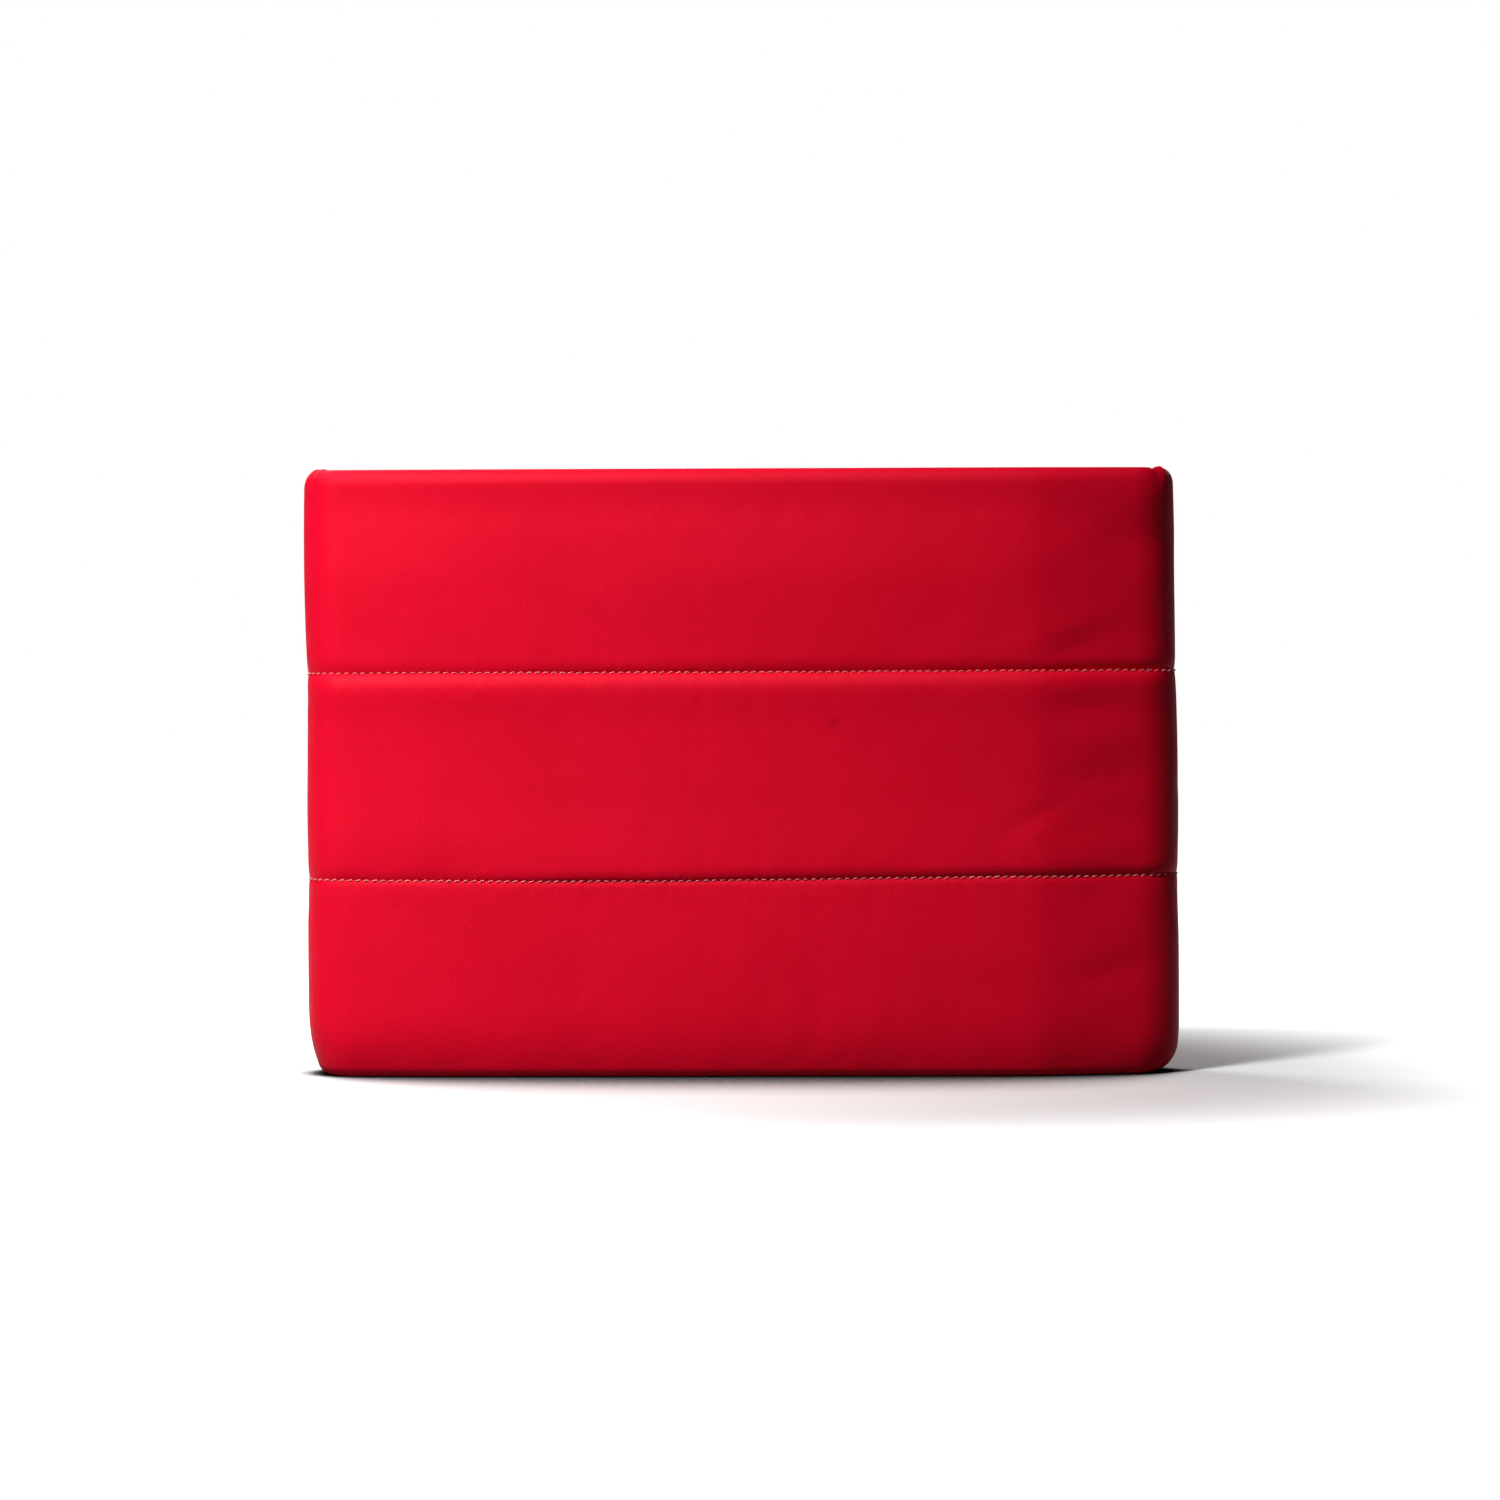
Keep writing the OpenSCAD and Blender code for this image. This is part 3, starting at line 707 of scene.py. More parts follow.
def rgb(r, g, b):
    """A colour given as it shows on a screen, 0 to 255."""
    def linear(v):
        v /= 255
        return v / 12.92 if v <= 0.04045 else ((v + 0.055) / 1.055) ** 2.4
    return (linear(r), linear(g), linear(b), 1.0)


def twill(m, across, along, thread, lean=0.62):
    """Height of a twill weave: slanting ribs, each broken up by its own threads."""
    turn = 2 * math.pi / thread
    rib = m.wave(m.plus(across, m.times(along, lean)), turn)
    pick = m.wave(m.math("SUBTRACT", along, m.times(across, 0.35)), turn * 1.7)
    return m.plus(m.times(rib, 0.65), m.times(pick, 0.35))


def shell_fabric():
    m = Nodes("shell_fabric")
    flat, across, along = m.cloth()
    weave = twill(m, across, along, 0.62 * MM)
    cloudy = m.noise(flat, 26, 3)
    fleck = m.noise(flat, 900, 2)
    grain = m.noise(flat, 1500, 1)
    red = m.mix(m.ramp(cloudy, 0.3, 0.7), rgb(226, 0, 39), rgb(232, 0, 43))
    worn = m.mix(m.times(m.ramp(grain, 0.65, 0.35), 0.3), red, rgb(196, 0, 27))
    # Painted shade: the twill's low parts are darkened towards a deeper red, standing in for shade in the
    # weave's hollows
    deep = m.mix(m.times(m.ramp(weave, -0.2, -1.0), 0.16), worn, rgb(160, 0, 22))
    # The one small dark mark on the front's middle channel
    spot = m.tree.nodes.new("ShaderNodeVectorMath")
    spot.operation = "DISTANCE"
    m.link(m.place(), spot.inputs[0])
    spot.inputs[1].default_value = (35.3 * MM, -HALF_D, 137 * MM)
    mark = m.times(m.ramp(spot.outputs["Value"], 4.2 * MM, 1.6 * MM), 0.42)
    fine = m.bump(fleck, 0.02 * MM, 0.5)
    m.surface(
        Base_Color=m.mix(mark, deep, rgb(120, 0, 20)), Roughness=m.plus(0.50, m.times(cloudy, 0.10)),
        Specular_IOR_Level=0.1, Sheen_Weight=0.015, Sheen_Roughness=0.3, Sheen_Tint=rgb(255, 150, 160),
        Normal=m.bump(weave, 0.035 * MM, 0.8, fine))
    return m.material


def thread_material():
    m = Nodes("thread")
    _, across, along = m.cloth()
    twist = m.wave(m.plus(across, m.times(along, 1.4)), 2 * math.pi / (0.32 * MM))
    # Painted shade and highlight: the thread is darker in the twist's grooves and lighter on its crests
    m.surface(
        Base_Color=m.mix(m.ramp(twist, -1, 1), rgb(246, 92, 102), rgb(255, 140, 146)),
        Roughness=0.45, Sheen_Weight=0.3, Normal=m.bump(twist, 0.05 * MM, 0.7))
    return m.material


def lining_fabric():
    m = Nodes("lining_fabric")
    flat, across, along = m.cloth()
    turn = 2 * math.pi / (0.5 * MM)
    weave = m.times(m.wave(across, turn), m.wave(along, turn))
    cloudy = m.noise(flat, 30, 3)
    grey = m.mix(m.ramp(cloudy, 0.3, 0.7), rgb(88, 84, 84), rgb(104, 99, 98))
    # Painted shade: the weave's low parts take a darker grey
    m.surface(
        Base_Color=m.mix(m.times(m.ramp(weave, 0, -1), 0.3), grey, rgb(58, 55, 56)),
        Roughness=0.72, Sheen_Weight=0.25, Normal=m.bump(weave, 0.04 * MM, 0.7))
    return m.material


def tape_fabric():
    m = Nodes("zip_tape")
    _, across, along = m.cloth()
    rib = m.wave(along, 2 * math.pi / (0.9 * MM))
    chevron = m.math("ABSOLUTE", m.wave(along, math.pi / (0.9 * MM)))
    pick = m.wave(m.plus(across, m.times(chevron, 0.3 * MM)), 2 * math.pi / (0.45 * MM))
    height = m.plus(m.times(rib, 0.7), m.times(pick, 0.3))
    # Painted shade and highlight: the weave's low parts are a darker red and its raised ribs a lighter one
    m.surface(
        Base_Color=m.mix(m.ramp(height, -1, 1), rgb(128, 6, 28), rgb(184, 16, 44)),
        Roughness=0.68, Sheen_Weight=0.2, Normal=m.bump(height, 0.06 * MM, 0.8))
    return m.material


def plain_solid(name, low, high, rough, metal=0.0, scale=700, depth=0.01):
    """Moulded plastic, foam or plated metal: mottled colour, fine uneven surface."""
    m = Nodes(name)
    where = m.place()
    mottle = m.noise(where, scale / 4, 3)
    grain = m.noise(where, scale * 4, 2)
    m.surface(
        Base_Color=m.mix(m.ramp(mottle, 0.3, 0.7), low, high), Metallic=metal,
        Roughness=m.plus(rough - 0.05, m.times(mottle, 0.1)), Normal=m.bump(grain, depth * MM, 0.5))
    return m.material


SLOTS = {
    "shell_fabric": shell_fabric(),
    "thread": thread_material(),
    "lining_fabric": lining_fabric(),
    "zip_tape": tape_fabric(),
    "zip_teeth": plain_solid("zip_teeth", rgb(150, 10, 34), rgb(178, 14, 42), 0.34, depth=0.02),
    "zip_metal": plain_solid("zip_metal", rgb(182, 182, 186), rgb(206, 206, 210), 0.3, metal=1.0),
    "foam": plain_solid("foam", rgb(196, 196, 190), rgb(214, 214, 208), 0.9, scale=900, depth=0.3),
    "board": plain_solid("board", rgb(34, 34, 36), rgb(46, 46, 48), 0.6, depth=0.03),
}


def paint(obj, slot):
    obj.data.materials.clear()
    obj.data.materials.append(SLOTS[slot])


def dress(obj, slot, body="case"):
    paint(obj, slot)
    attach(obj, body)


# ---------------------------------------------------------------- the three padded bands


def band(name, points, u, z, inner_top, inner_foot, *nodes):
    """A closed band, from its outer face to a plain inner one between two heights."""
    back_profile = np.array([(PAD_DEPTH, inner_top), (PAD_DEPTH, inner_foot)])
    points, cloth = close_ring(points, cloth_places(u, z), back_profile)
    obj = grid_object(name, points, wrap_rows=True, wrap_cols=True, cloth=cloth)
    dress(obj, "shell_fabric")
    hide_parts(*nodes)


def side_pads(level):
    return [f"{side}_pad_{level}" for side in ("front", "back", "left", "right")]


def shaped(u, z, low, high, *settings):
    """A band's points: placed once, simulated as cloth, and placed again with its wrinkles."""
    first = place(u, z, *settings)
    return place(u, z, *settings, slack=slack_of(first, z, low, high))


upper_u, upper_z = upper_rows()
middle_u, middle_z = band_rows(LOWER_SEAM_Z, UPPER_SEAM_Z)
lower_u, lower_z = lower_rows()

upper_points = rim_tucks(shaped(
    upper_u, upper_z, UPPER_SEAM_Z, WALL_TOP, UPPER_SEAM_Z, RIM_Z, SEED, "upper", None))
middle_points = shaped(
    middle_u, middle_z, LOWER_SEAM_Z, UPPER_SEAM_Z, LOWER_SEAM_Z, UPPER_SEAM_Z, SEED + 10, "lower", "upper")
lower_points = shaped(lower_u, lower_z, 2 * MM, LOWER_SEAM_Z, 0, LOWER_SEAM_Z, SEED + 20, None, "lower")

band("padded_upper_band", upper_points, upper_u, upper_z, FACING_END_Z, UPPER_SEAM_Z + 1 * MM,
     "cover_upper_band", "rim_corner_tucks", "rim_piping", *side_pads("upper"))
band("padded_middle_band", middle_points, middle_u, middle_z, UPPER_SEAM_Z - 1 * MM, LOWER_SEAM_Z + 1 * MM,
     "cover_middle_band", *side_pads("middle"))
band("padded_lower_band", lower_points, lower_u, lower_z, LOWER_SEAM_Z - 1 * MM, 9 * MM,
     "cover_lower_band", *side_pads("lower"))

# ---------------------------------------------------------------- topstitching


STITCH_LENGTH = 2.45 * MM
THREAD_RADIUS = 0.31 * MM


def stitch_row(name, points, row, node, slant=13):
    """One short bent thread over every stitch's length, on the fabric just under the seam."""
    sides, rings = 8, 7
    tube = tube_faces(rings, sides)
    verts, faces, flat = [], [], []
    ring = [(math.cos(2 * math.pi * k / sides), math.sin(2 * math.pi * k / sides)) for k in range(sides)]
    rng = np.random.default_rng(SEED + row)
    for i in range(STITCH_COUNT):
        c = i * COLUMNS_PER_STITCH + 1
        here = Vector(points[row, c])
        along = (Vector(points[row, (c + 1) % COLUMNS]) - Vector(points[row, c - 1])).normalized()
        up = (Vector(points[row + 1, c]) - Vector(points[row - 3, c])).normalized()
        out = along.cross(up).normalized()
        lean = math.radians(slant + rng.normal() * 2.5)
        way = along * math.cos(lean) + up * math.sin(lean)
        side = out.cross(way).normalized()
        base = len(verts)
        for k in range(rings):
            # Its ends, at t = -1 and 1, get thinner and dip into the fabric
            t = 2 * k / (rings - 1) - 1
            sink = 0.12 * MM - 0.75 * MM * abs(t) ** 6
            centre = here + way * (t * STITCH_LENGTH / 2) + out * (sink + 0.26 * MM)
            fat = THREAD_RADIUS * (1 - 0.35 * abs(t) ** 6)
            for a, b in ring:
                verts.append(centre + side * (a * fat * 0.95) + out * (b * fat * 0.8))
                flat.append((t * STITCH_LENGTH / 2, (a + b) * fat))
        faces += [[base + i for i in face] for face in tube]
    obj = new_mesh(name, verts, faces)
    lay_flat(obj, flat)
    dress(obj, "thread")
    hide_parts(node)


# Each row of stitches lies on its band's top edge, just under the seam
STITCH_ROW = -3
stitch_row("stitches_upper", middle_points, len(middle_points) + STITCH_ROW, "topstitch_upper")
stitch_row("stitches_lower", lower_points, len(lower_points) + STITCH_ROW, "topstitch_lower")

# ---------------------------------------------------------------- base


def base_pad():
    """The flat base: a thin quilted panel between the rolled lower edges, with its pad above it."""
    edge = lower_points[0]
    spine_x = HALF_W - HALF_D
    spine = np.stack([np.clip(edge[:, 0], -spine_x, spine_x), np.zeros(COLUMNS)], 1)
    # Share of the way in from the edge to the spine, and height (mm): the underside and then the top
    rows = [
        (0.88, 0.5), (0.6, 0.45), (0.4, 0.4), (0.25, 0.3), (0.12, 0.15), (0.03, 0.03), (-0.02, 0.1),
        (-0.06, 1.2), (0.0, 5.5), (0.3, 6.4), (0.88, 6.6)]
    points = []
    for share, height in rows:
        xy = edge[:, :2] * (1 - share) + spine * share
        uneven = 0.12 * MM * swell(S, np.full(COLUMNS, share), SEED + 5) * smooth(share * 4)
        points.append(np.column_stack([xy, np.full(COLUMNS, height * MM) + uneven]))
    points = np.array(points)
    obj = grid_object("base_panel", points, wrap_rows=True, wrap_cols=True, cloth=points[..., :2])
    dress(obj, "shell_fabric")
    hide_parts("cover_base_panel", "base_pad")


base_pad()

# ---------------------------------------------------------------- lining


def panel(node, points, cloth):
    """One cut piece of lining, with a real thickness to its inner side."""
    obj = grid_object(node + "_cloth", points, cloth=cloth)
    dress(obj, "lining_fabric")
    solid = obj.modifiers.new("thickness", "SOLIDIFY")
    solid.thickness = 0.35 * MM
    solid.offset = 0
    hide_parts(node)


def lining():
    """Five panels sewn into a pocket; the long ones wave gently between their seams."""
    x, y = LINING_HIGH[0] - 0.4 * MM, -LINING_HIGH[1] + 0.15 * MM
    z0, z1 = LINING_LOW[2] + 0.3 * MM, FACING_END_Z + 0.6 * MM
    across, up = np.linspace(-x, x, 160), np.linspace(z0, z1, 90)
    gx, gz = np.meshgrid(across, up)
    hem = smooth((z1 - gz) / (25 * MM)) * smooth((gz - z0) / (12 * MM))
    hem = hem * smooth((x - np.abs(gx)) / (14 * MM))
    for side, node in ((-1, "lining_front"), (1, "lining_back")):
        rng = np.random.default_rng(SEED + 30 + side)
        wave = np.zeros_like(gx)
        for _ in range(9):
            k = rng.uniform(20, 90)
            lean = rng.normal() * 0.5
            wave += np.sin(k * (gx + lean * gz) + rng.uniform(0, 6.3)) / k * 20
        inward = (0.55 * MM + 0.35 * MM * wave / np.abs(wave).max()) * hem
        points = np.stack([gx, side * (y - inward), gz], 2)
        panel(node, points, np.stack([gx, gz], 2))
    deep = np.linspace(-y, y, 12)
    gy, gz2 = np.meshgrid(deep, up)
    for side, node in ((-1, "lining_left"), (1, "lining_right")):
        bow = 0.5 * MM * np.cos(gy / y * math.pi / 2) * np.sin(gz2 * 40 + side)
        points = np.stack([side * (x - 0.3 * MM - np.abs(bow)), gy, gz2], 2)
        panel(node, points, np.stack([gy, gz2], 2))
    bx, by = np.meshgrid(across, deep)
    sag = 0.25 * MM * np.cos(by / y * math.pi / 2) * (1 + 0.5 * np.sin(bx * 60))
    points = np.stack([bx, by, z0 + sag], 2)
    panel("lining_base", points, points[..., :2])


lining()

# ---------------------------------------------------------------- zip: tapes

TAPE_MID = (TAPE_LOW[2] + TAPE_HIGH[2]) / 2
TEETH_ROOT = -TAPE_HIGH[1]
FLAP_X = TAPE_HIGH[0]


def tape(name, x0, x1, y_root, y_edge, body, node):
    """A woven tape with a thick corded edge at the teeth and a folded one where it is sewn in."""
    side = 1 if y_edge > y_root else -1
    width = abs(y_edge - y_root) / MM
    across = [
        (0, 0.30), (0.35, 0.62), (0.9, 0.66), (1.35, 0.34), (2.0, 0.22), (3.5, 0.2), (5.0, 0.2),
        (width - 1.6, 0.22), (width - 1.2, 0.34), (width - 0.5, 0.38), (width, 0.2)]
    loop = across + mirrored(across)
    xs = np.linspace(x0, x1, max(3, round((x1 - x0) / (1.2 * MM))))
    points, flat = [], []
    for x in xs:
        lift = 0.07 * MM * math.sin(x * 95 + side) + 0.04 * MM * math.sin(x * 260)
        heights = [TAPE_MID + b * MM * 0.62 + lift * bell((a - 4.5) / 2.5) for a, b in loop]
        points.append([(x, y_root + side * a * MM, z) for (a, b), z in zip(loop, heights)])
        flat.append([(a * MM, x) for a, b in loop])
    obj = grid_object(name, np.array(points), wrap_cols=True, cloth=np.array(flat))
    count = len(loop)
    face_outwards(obj, [range(end * count, (end + 1) * count) for end in (0, len(xs) - 1)])
    dress(obj, "zip_tape", body)
    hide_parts(node)


def tapes():
    edge = -TAPE_LOW[1]
    tape("tape_front", -FLAP_X, FLAP_X, -TEETH_ROOT, -edge, "front_flap", "zip_tape_front")
    tape("tape_back", -FLAP_X, FLAP_X, TEETH_ROOT, edge, "back_flap", "zip_tape_back")
    start, end = FLAP_X + 0.3 * MM, TAPE_ENDS_HIGH[0]
    for side in (-1, 1):
        for half in (-1, 1):
            x0, x1 = sorted((side * start, side * end))
            name = f"tape_end_{side + 1}_{half + 1}"
            tape(name, x0, x1, half * TEETH_ROOT, half * edge, "case", "zip_tape_ends")


tapes()

# ---------------------------------------------------------------- zip: teeth

TOOTH_PITCH = 2.8 * MM


TOOTH_HALF = 0.75 * MM  # from a tooth's middle to the end of its row


def tooth(side):
    """One moulded tooth, seen from above: a clasp round the cord, a neck and a rounded head."""
    right = [
        (3.35, 0.55), (3.1, 0.72), (2.5, 0.82), (1.9, 0.72), (1.5, 0.5), (0.9, 0.44),
        (0.35, 0.56), (-0.15, 0.6), (-0.42, 0.42), (-0.5, 0.15)]
    loop = right + mirrored(right)
    layers = [(-1.05, 0.82), (-0.85, 1.0), (-0.3, 1.0), (0.3, 1.0), (0.85, 1.0), (1.05, 0.82)]
    middle = 1.4
    verts = []
    for z, grow in layers:
        for a, b in loop:
            head = 1.0 if a > 1.2 else (0.82 if abs(z) > 0.8 else 1.0)
            y = side * (middle + (a - middle) * (0.94 + 0.06 * grow))
            verts.append((b * grow * head, y, z * (0.86 if a < 1.2 else 1.0)))
    return np.array(verts) * MM, tube_faces(len(layers), len(loop))


def teeth(name, centres, sides, body, node):
    verts, faces = [], []
    for x, side in zip(centres, sides):
        v, f = tooth(side)
        base = len(verts)
        verts += (v + np.array([x, 0, TAPE_MID])).tolist()
        faces += [[base + i for i in face] for face in f]
    obj = new_mesh(name, verts, faces)
    face_outwards(obj)
    round_edges(obj, 0.12 * MM, 2)
    dress(obj, "zip_teeth", body)
    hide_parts(node)


def row_centres(node):
    low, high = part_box(node)
    count = round((high[0] - low[0] - 2 * TOOTH_HALF) / TOOTH_PITCH) + 1
    return low[0] + TOOTH_HALF + TOOTH_PITCH * np.arange(count)


front_row, back_row = row_centres("zip_teeth_front"), row_centres("zip_teeth_back")
teeth("teeth_front", front_row, [-1] * len(front_row), "front_flap", "zip_teeth_front")
teeth("teeth_back", back_row, [1] * len(back_row), "back_flap", "zip_teeth_back")


def teeth_ends():
    centres, sides = [], []
    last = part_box("zip_teeth_ends")[1][0] - TOOTH_HALF
    for end in (-1, 1):
        for i in range(3):
            centres += [end * (last - i * TOOTH_PITCH), end * (last - TOOTH_PITCH / 2 - i * TOOTH_PITCH)]
            sides += [end, -end]
    teeth("teeth_ends", centres, sides, "case", "zip_teeth_ends")


teeth_ends()

# ---------------------------------------------------------------- zip: end tabs, slider and pull


def end_tab(node):
    """A folded tab of shell fabric, puffed between its two rows of stitches."""
    low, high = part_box(node)
    xs, ys = np.linspace(low[0], high[0], 15), np.linspace(low[1], high[1], 31)
    gx, gy = np.meshgrid(xs, ys)
    a = np.abs(2 * (gx - low[0]) / (high[0] - low[0]) - 1)
    b = np.abs(2 * (gy - low[1]) / (high[1] - low[1]) - 1)
    body = (1 - a ** 6) * (1 - b ** 10)
    stitched = 1 - 0.55 * bell((a - 0.62) / 0.1)
    top = low[2] + (0.15 + 0.65 * np.sqrt(np.clip(body, 0, 1)) * stitched) * MM
    under = np.full_like(gx, low[2] + 0.05 * MM)
    rows, cols = gx.shape
    verts = np.concatenate([np.stack([gx, gy, z], 2).reshape(-1, 3) for z in (top, under)])
    quads = grid_faces(rows, cols, False, False)
    total = rows * cols
    faces = quads.tolist() + (quads[:, ::-1] + total).tolist()
    rim = [*range(cols), *(r * cols + cols - 1 for r in range(1, rows))]
    rim += [(rows - 1) * cols + c for c in range(cols - 2, -1, -1)]
    rim += [r * cols for r in range(rows - 2, 0, -1)]
    faces += [[p, p + total, q + total, q] for p, q in zip(rim, rim[1:] + rim[:1])]
    obj = new_mesh(node + "_cloth", verts.tolist(), faces)
    lay_flat(obj, verts[:, :2])
    face_outwards(obj)
    dress(obj, "shell_fabric")
    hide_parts(node)


end_tab("zip_end_tab_left")
end_tab("zip_end_tab_right")


def plate(name, outline, z0, z1, width, body):
    """A flat metal plate with rounded edges, cut from an outline in the plane."""
    bm = bmesh.new()
    under, top = [[bm.verts.new((x, y, z)) for x, y in outline] for z in (z0, z1)]
    bm.faces.new(under[::-1])
    bm.faces.new(top)
    for j in range(len(outline)):
        j1 = (j + 1) % len(outline)
        bm.faces.new([under[j], under[j1], top[j1], top[j]])
    mesh = bpy.data.meshes.new(name)
    bmesh.ops.recalc_face_normals(bm, faces=bm.faces)
    bm.to_mesh(mesh)
    bm.free()
    obj = add_object(name, mesh)
    round_edges(obj, width, 3)
    dress(obj, "zip_metal", body)
    return obj


def rod(name, points, radius, body, closed=False, flat=1.0):
    """A bent wire of round or flattened section, as a mesh tube."""
    pts = [Vector(p) for p in points]
    sides = 12
    verts = []
    n = len(pts)
    for i, p in enumerate(pts):
        if closed:
            way = (pts[(i + 1) % n] - pts[i - 1]).normalized()
        else:
            way = (pts[min(i + 1, n - 1)] - pts[max(i - 1, 0)]).normalized()
        side = Vector((0, 1, 0)) if abs(way.y) < 0.9 else Vector((1, 0, 0))
        side = (side - way * side.dot(way)).normalized()
        up = way.cross(side)
        for k in range(sides):
            a = 2 * math.pi * k / sides
            verts.append(p + side * (math.cos(a) * radius * flat) + up * (math.sin(a) * radius))
    obj = new_mesh(name, verts, tube_faces(n, sides, closed))
    dress(obj, "zip_metal", body)
    return obj


def rounded_rectangle(x0, x1, y0, y1, r, n=6):
    out = []
    corners = ((x1 - r, y1 - r, 0), (x0 + r, y1 - r, 90), (x0 + r, y0 + r, 180), (x1 - r, y0 + r, 270))
    for cx, cy, start in corners:
        for k in range(n + 1):
            a = math.radians(start + 90 * k / n)
            out.append((cx + r * math.cos(a), cy + r * math.sin(a)))
    return out


def slider():
    """Upper and lower plates with turned-down rails, a neck between them and a bail on top."""
    x0, x1 = SLIDER_LOW[0], SLIDER_HIGH[0]
    half = SLIDER_HIGH[1]
    mid = (x0 + x1) / 2
    top0, top1 = TAPE_MID + 1.5 * MM, TAPE_MID + 2.5 * MM
    flank = [
        (x0, -half * 0.80), (x0 + 1.2 * MM, -half), (x0 + 4.6 * MM, -half), (x1 - 1.0 * MM, -half * 0.78),
        (x1, -half * 0.55)]
    shape = flank + mirrored(flank) + [(x0 + 0.5 * MM, half * 0.3), (x0 + 0.5 * MM, -half * 0.3)]
    pieces = [
        plate("slider_top", shape, top0, top1, 0.3 * MM, "slider"),
        plate("slider_bottom", shape, 2 * TAPE_MID - top1, 2 * TAPE_MID - top0, 0.3 * MM, "slider")]
    for side in (-1, 1):
        for up in (-1, 1):
            z = sorted((TAPE_MID + up * 0.72 * MM, TAPE_MID + up * 1.75 * MM))
            y = sorted((side * half, side * (half - 0.85 * MM)))
            rail = rounded_rectangle(x0 + 1.0 * MM, x1 - 1.2 * MM, *y, 0.35 * MM)
            pieces.append(plate(f"slider_rail_{side + 1}_{up + 1}", rail, *z, 0.2 * MM, "slider"))
    neck = rounded_rectangle(x0 + 0.9 * MM, x0 + 2.4 * MM, -0.3 * MM, 0.3 * MM, 0.25 * MM)
    pieces.append(plate("slider_neck", neck, TAPE_MID - 1.6 * MM, TAPE_MID + 1.6 * MM, 0.05 * MM, "slider"))
    # The bail: a squarish arch between two feet
    bail_top, foot = SLIDER_HIGH[2] - 0.4 * MM, top1 - 0.2 * MM
    span = 1.75 * MM
    arch = [(mid - span - 0.25 * MM, 0, foot), (mid - span, 0, foot + 0.5 * MM)]
    for k in range(13):
        a = math.pi * (1 - k / 12)
        arch.append((mid + span * math.copysign(abs(math.cos(a)) ** 0.7, math.cos(a)), 0,
                     foot + 0.9 * MM + (bail_top - foot - 0.9 * MM) * math.sin(a) ** 0.8))
    arch += [(mid + span, 0, foot + 0.5 * MM), (mid + span + 0.25 * MM, 0, foot)]
    pieces.append(rod("slider_bail", arch, 0.4 * MM, "slider", flat=1.9))
    for piece in pieces:
        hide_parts("zip_slider")


def pull():
    """A slim rounded pull with an eye round the bail's bar and a raised boss along its middle."""
    x0, x1, half = PULL_LOW[0], PULL_HIGH[0], PULL_HIGH[1]
    z = (PULL_LOW[2] + PULL_HIGH[2]) / 2
    r = (PULL_HIGH[2] - PULL_LOW[2]) / 2
    bar_x = x1 - r
    eye_x, eye_y = bar_x - 3.4 * MM, half - 0.75 * MM
    eye = [(bar_x, -eye_y), (bar_x, eye_y), (eye_x, eye_y), (eye_x, -eye_y)]
    ring = []
    for i in range(4):
        a, b = Vector((*eye[i], z)), Vector((*eye[(i + 1) % 4], z))
        ring += [a.lerp(b, t) for t in (0.12, 0.3, 0.5, 0.7, 0.88)]
    leaf = []
    for k in range(17):
        a = math.radians(90 + 180 * k / 16)
        leaf.append((x0 + half + half * math.cos(a), half * math.sin(a)))
    shoulder = [(bar_x - 3.2 * MM, -half * 0.93), (bar_x - 2.9 * MM, -half * 0.6)]
    leaf += shoulder + mirrored(shoulder)
    boss = rounded_rectangle(x0 + 1.5 * MM, bar_x - 4.4 * MM, -half * 0.42, half * 0.42, 1.1 * MM)
    pieces = [
        rod("pull_eye", ring, r * 0.98, "pull", closed=True),
        plate("pull_leaf", leaf, z - r * 0.9, z + r * 0.9, 0.28 * MM, "pull"),
        plate("pull_boss", boss, z - r, z + r, 0.2 * MM, "pull")]
    for piece in pieces:
        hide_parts("zip_pull")


slider()
pull()

round_edges(frame["nodes"]["zip_stops"], 0.35 * MM, 3)

# ---------------------------------------------------------------- camera, lights and stage

PHOTO_WIDTH_AT_CASE = 578 * MM  # what the whole frame's width shows at the case's front
CAMERA_BACK = 1.6
CAMERA_Z = 0.157
CAMERA_ROLL = math.radians(-0.08)
AIM = Vector((3.3 * MM, -HALF_D, 126.4 * MM))
WHITE = (1, 1, 1, 1)


def camera():
    data = bpy.data.cameras.new("camera")
    obj = add_object("camera", data)
    obj.location = (AIM.x, -HALF_D - CAMERA_BACK, CAMERA_Z)
    way = AIM - obj.location
    level = way.to_track_quat("-Z", "Y")
    roll = Matrix.Rotation(CAMERA_ROLL, 4, "Z")
    obj.rotation_euler = (level.to_matrix().to_4x4() @ roll).to_euler()
    data.sensor_width = 36
    data.lens = 36 * way.length / PHOTO_WIDTH_AT_CASE
    data.clip_end = 50
    bpy.context.scene.camera = obj


def lamp(name, where, target, size, power, spread=180):
    data = bpy.data.lights.new(name, "AREA")
    data.shape = "RECTANGLE"
    data.size = data.size_y = size
    data.energy = power
    data.spread = math.radians(spread)
    obj = add_object(name, data)
    obj.location = where
    obj.rotation_euler = (Vector(target) - Vector(where)).to_track_quat("-Z", "Y").to_euler()


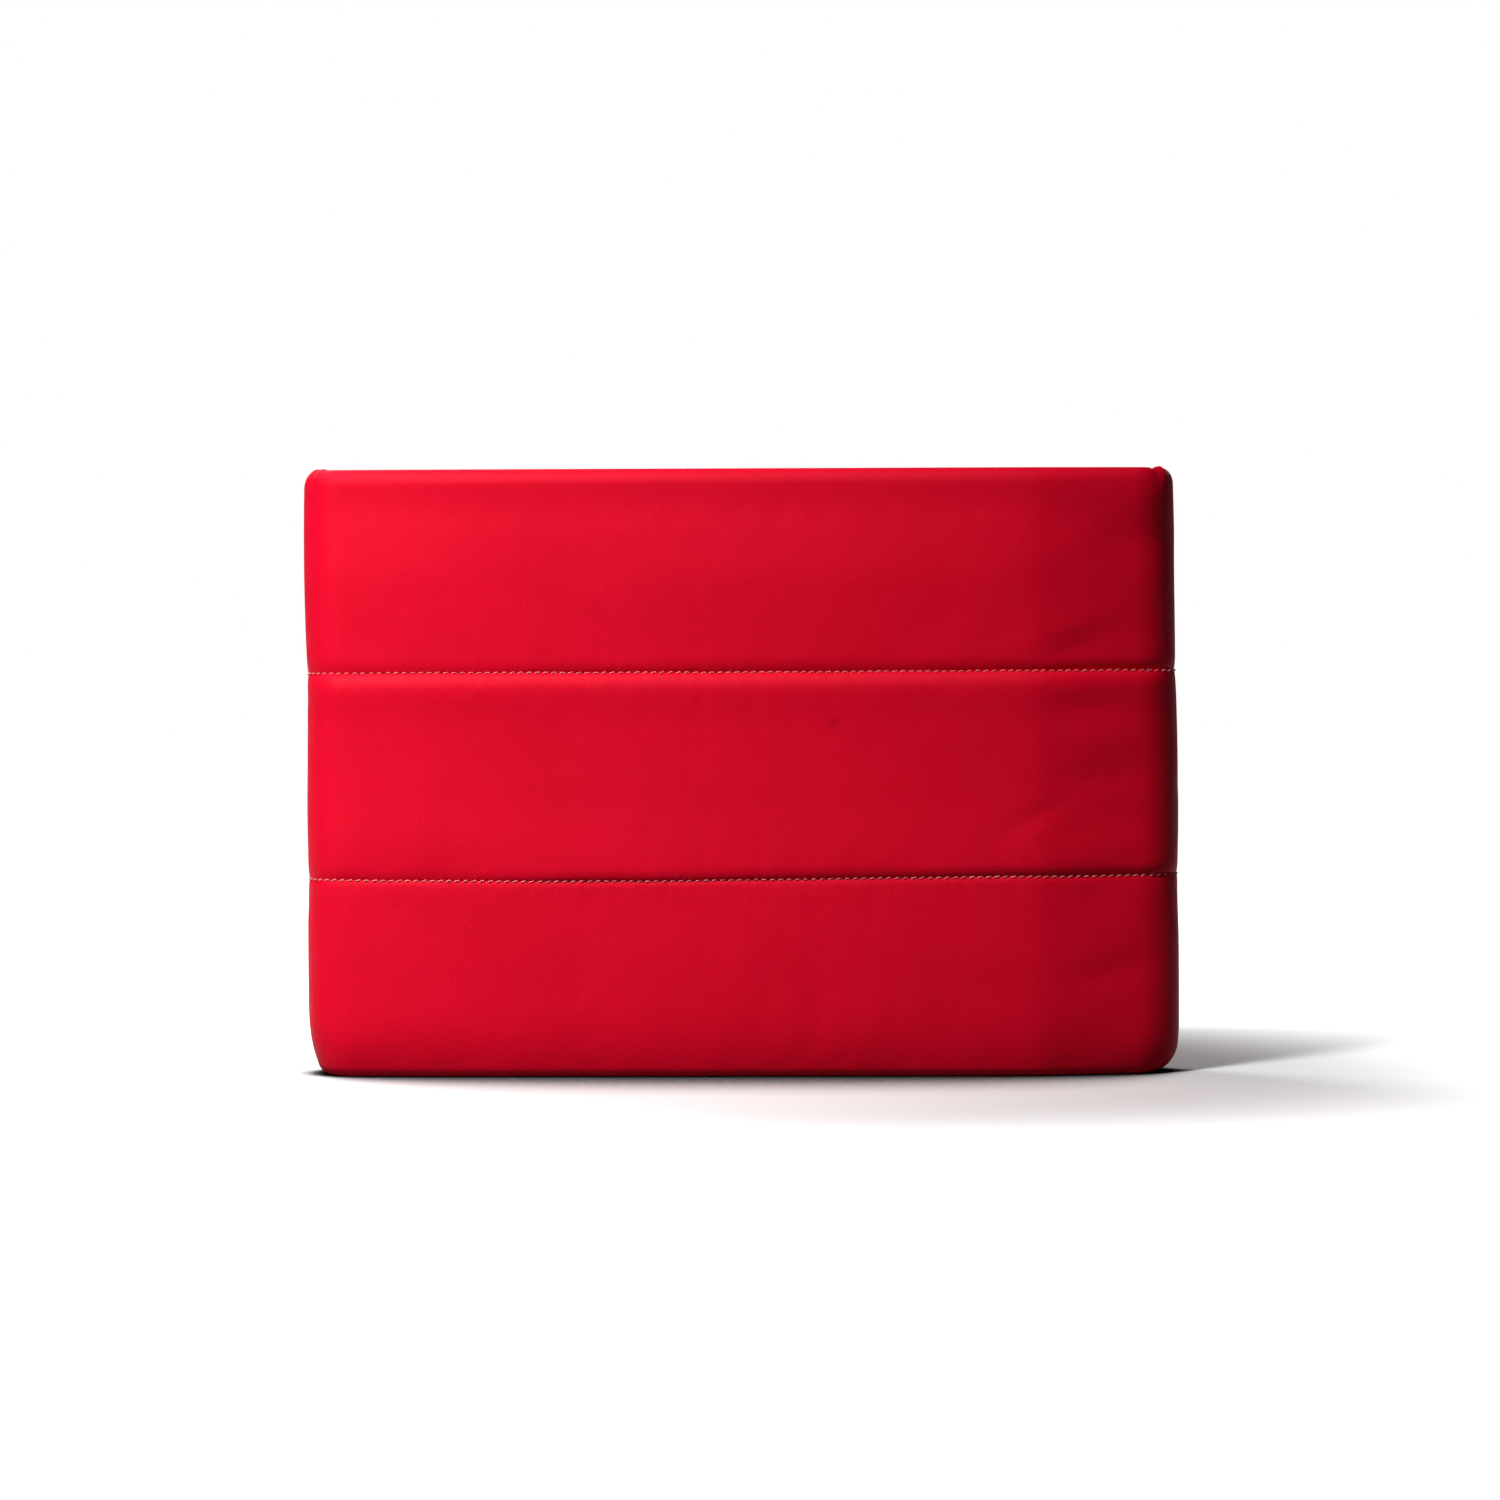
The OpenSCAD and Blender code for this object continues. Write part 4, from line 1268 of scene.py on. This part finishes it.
def stage_material():
    """Pale and matt; to the camera it has a painted contact shadow darkening it round the case, and it
    glows white away from the case, where no shadow falls.
    """
    m = Nodes("stage")
    m.tree.nodes.remove(m.shader)
    xyz = m.tree.nodes.new("ShaderNodeSeparateXYZ")
    m.link(m.place(), xyz.inputs[0])
    x, y = xyz.outputs[0], xyz.outputs[1]
    away = m.math("SQRT", m.plus(m.math("POWER", m.times(x, 0.9), 2.0), m.math("POWER", y, 2.0)))
    # Painted contact shadow: ambient occlusion from the case darkens the floor's colour towards near black
    # around it
    contact = m.tree.nodes.new("ShaderNodeAmbientOcclusion")
    contact.samples = 16
    contact.inputs["Distance"].default_value = 0.15
    painted_contact_shadow = m.ramp(contact.outputs["AO"], 0.48, 0.78)
    white = m.node("BsdfDiffuse", Color=m.mix(painted_contact_shadow, (0.02, 0.02, 0.02, 1), (0.86, 0.86, 0.86, 1)))
    glow = m.node("Emission", Color=WHITE, Strength=m.ramp(away, 0.16, 0.36))
    both = m.tree.nodes.new("ShaderNodeAddShader")
    m.link(white.outputs[0], both.inputs[0])
    m.link(glow.outputs[0], both.inputs[1])
    path = m.tree.nodes.new("ShaderNodeLightPath")
    seen = m.math("MAXIMUM", path.outputs["Is Camera Ray"], path.outputs["Is Glossy Ray"])
    pick = m.tree.nodes.new("ShaderNodeMixShader")
    m.link(seen, pick.inputs[0])
    m.link(m.node("BsdfDiffuse", Color=(0.14, 0.14, 0.14, 1)).outputs[0], pick.inputs[1])
    m.link(both.outputs[0], pick.inputs[2])
    m.link(pick.outputs[0], m.out.inputs["Surface"])
    return m.material


def stage():
    side, front, back = 6, -4, 8
    corners = [(-side, front, 0), (side, front, 0), (side, back, 0), (-side, back, 0)]
    floor = new_mesh("floor", corners, [[0, 1, 2, 3]], False)
    floor.data.materials.append(stage_material())


def world():
    """White to the camera, and nearly dark to all other rays."""
    w = bpy.data.worlds.new("world")
    w.use_nodes = True
    bpy.context.scene.world = w
    tree = w.node_tree
    tree.nodes.clear()
    out = tree.nodes.new("ShaderNodeOutputWorld")
    mix = tree.nodes.new("ShaderNodeMixShader")
    for socket, strength in ((1, 0.013), (2, 1.0)):
        source = tree.nodes.new("ShaderNodeBackground")
        source.inputs["Color"].default_value = WHITE
        source.inputs["Strength"].default_value = strength
        tree.links.new(source.outputs[0], mix.inputs[socket])
    path = tree.nodes.new("ShaderNodeLightPath")
    seen = tree.nodes.new("ShaderNodeMath")
    seen.operation = "MAXIMUM"
    tree.links.new(path.outputs["Is Camera Ray"], seen.inputs[0])
    tree.links.new(path.outputs["Is Transmission Ray"], seen.inputs[1])
    tree.links.new(seen.outputs[0], mix.inputs[0])
    tree.links.new(mix.outputs[0], out.inputs[0])


camera()
stage()
world()
lamp("key", (-0.453, -0.703, 1.064), (-0.477, -0.128, 0.155), 0.25, 8.4, spread=92.6)
lamp("back", (-0.75, 0.8, 1.1), (0, 0.05, 0.12), 0.6, 10)
lamp("fill", (-0.3, -2.2, 0.5), (0, 0, 0.12), 1.2, 0.06)
lamp("end", (0.9, 1.5, 0.9), (0.1, 0, 0.12), 0.6, 1.6)

bpy.context.scene.view_settings.view_transform = "Standard"

# ---------------------------------------------------------------- materials of the CAD pieces that stay

for name, node in frame["nodes"].items():
    slot = next(p["material_slot"] for p in frame["record"]["subparts"] if p["node"] == name)
    paint(node, slot)
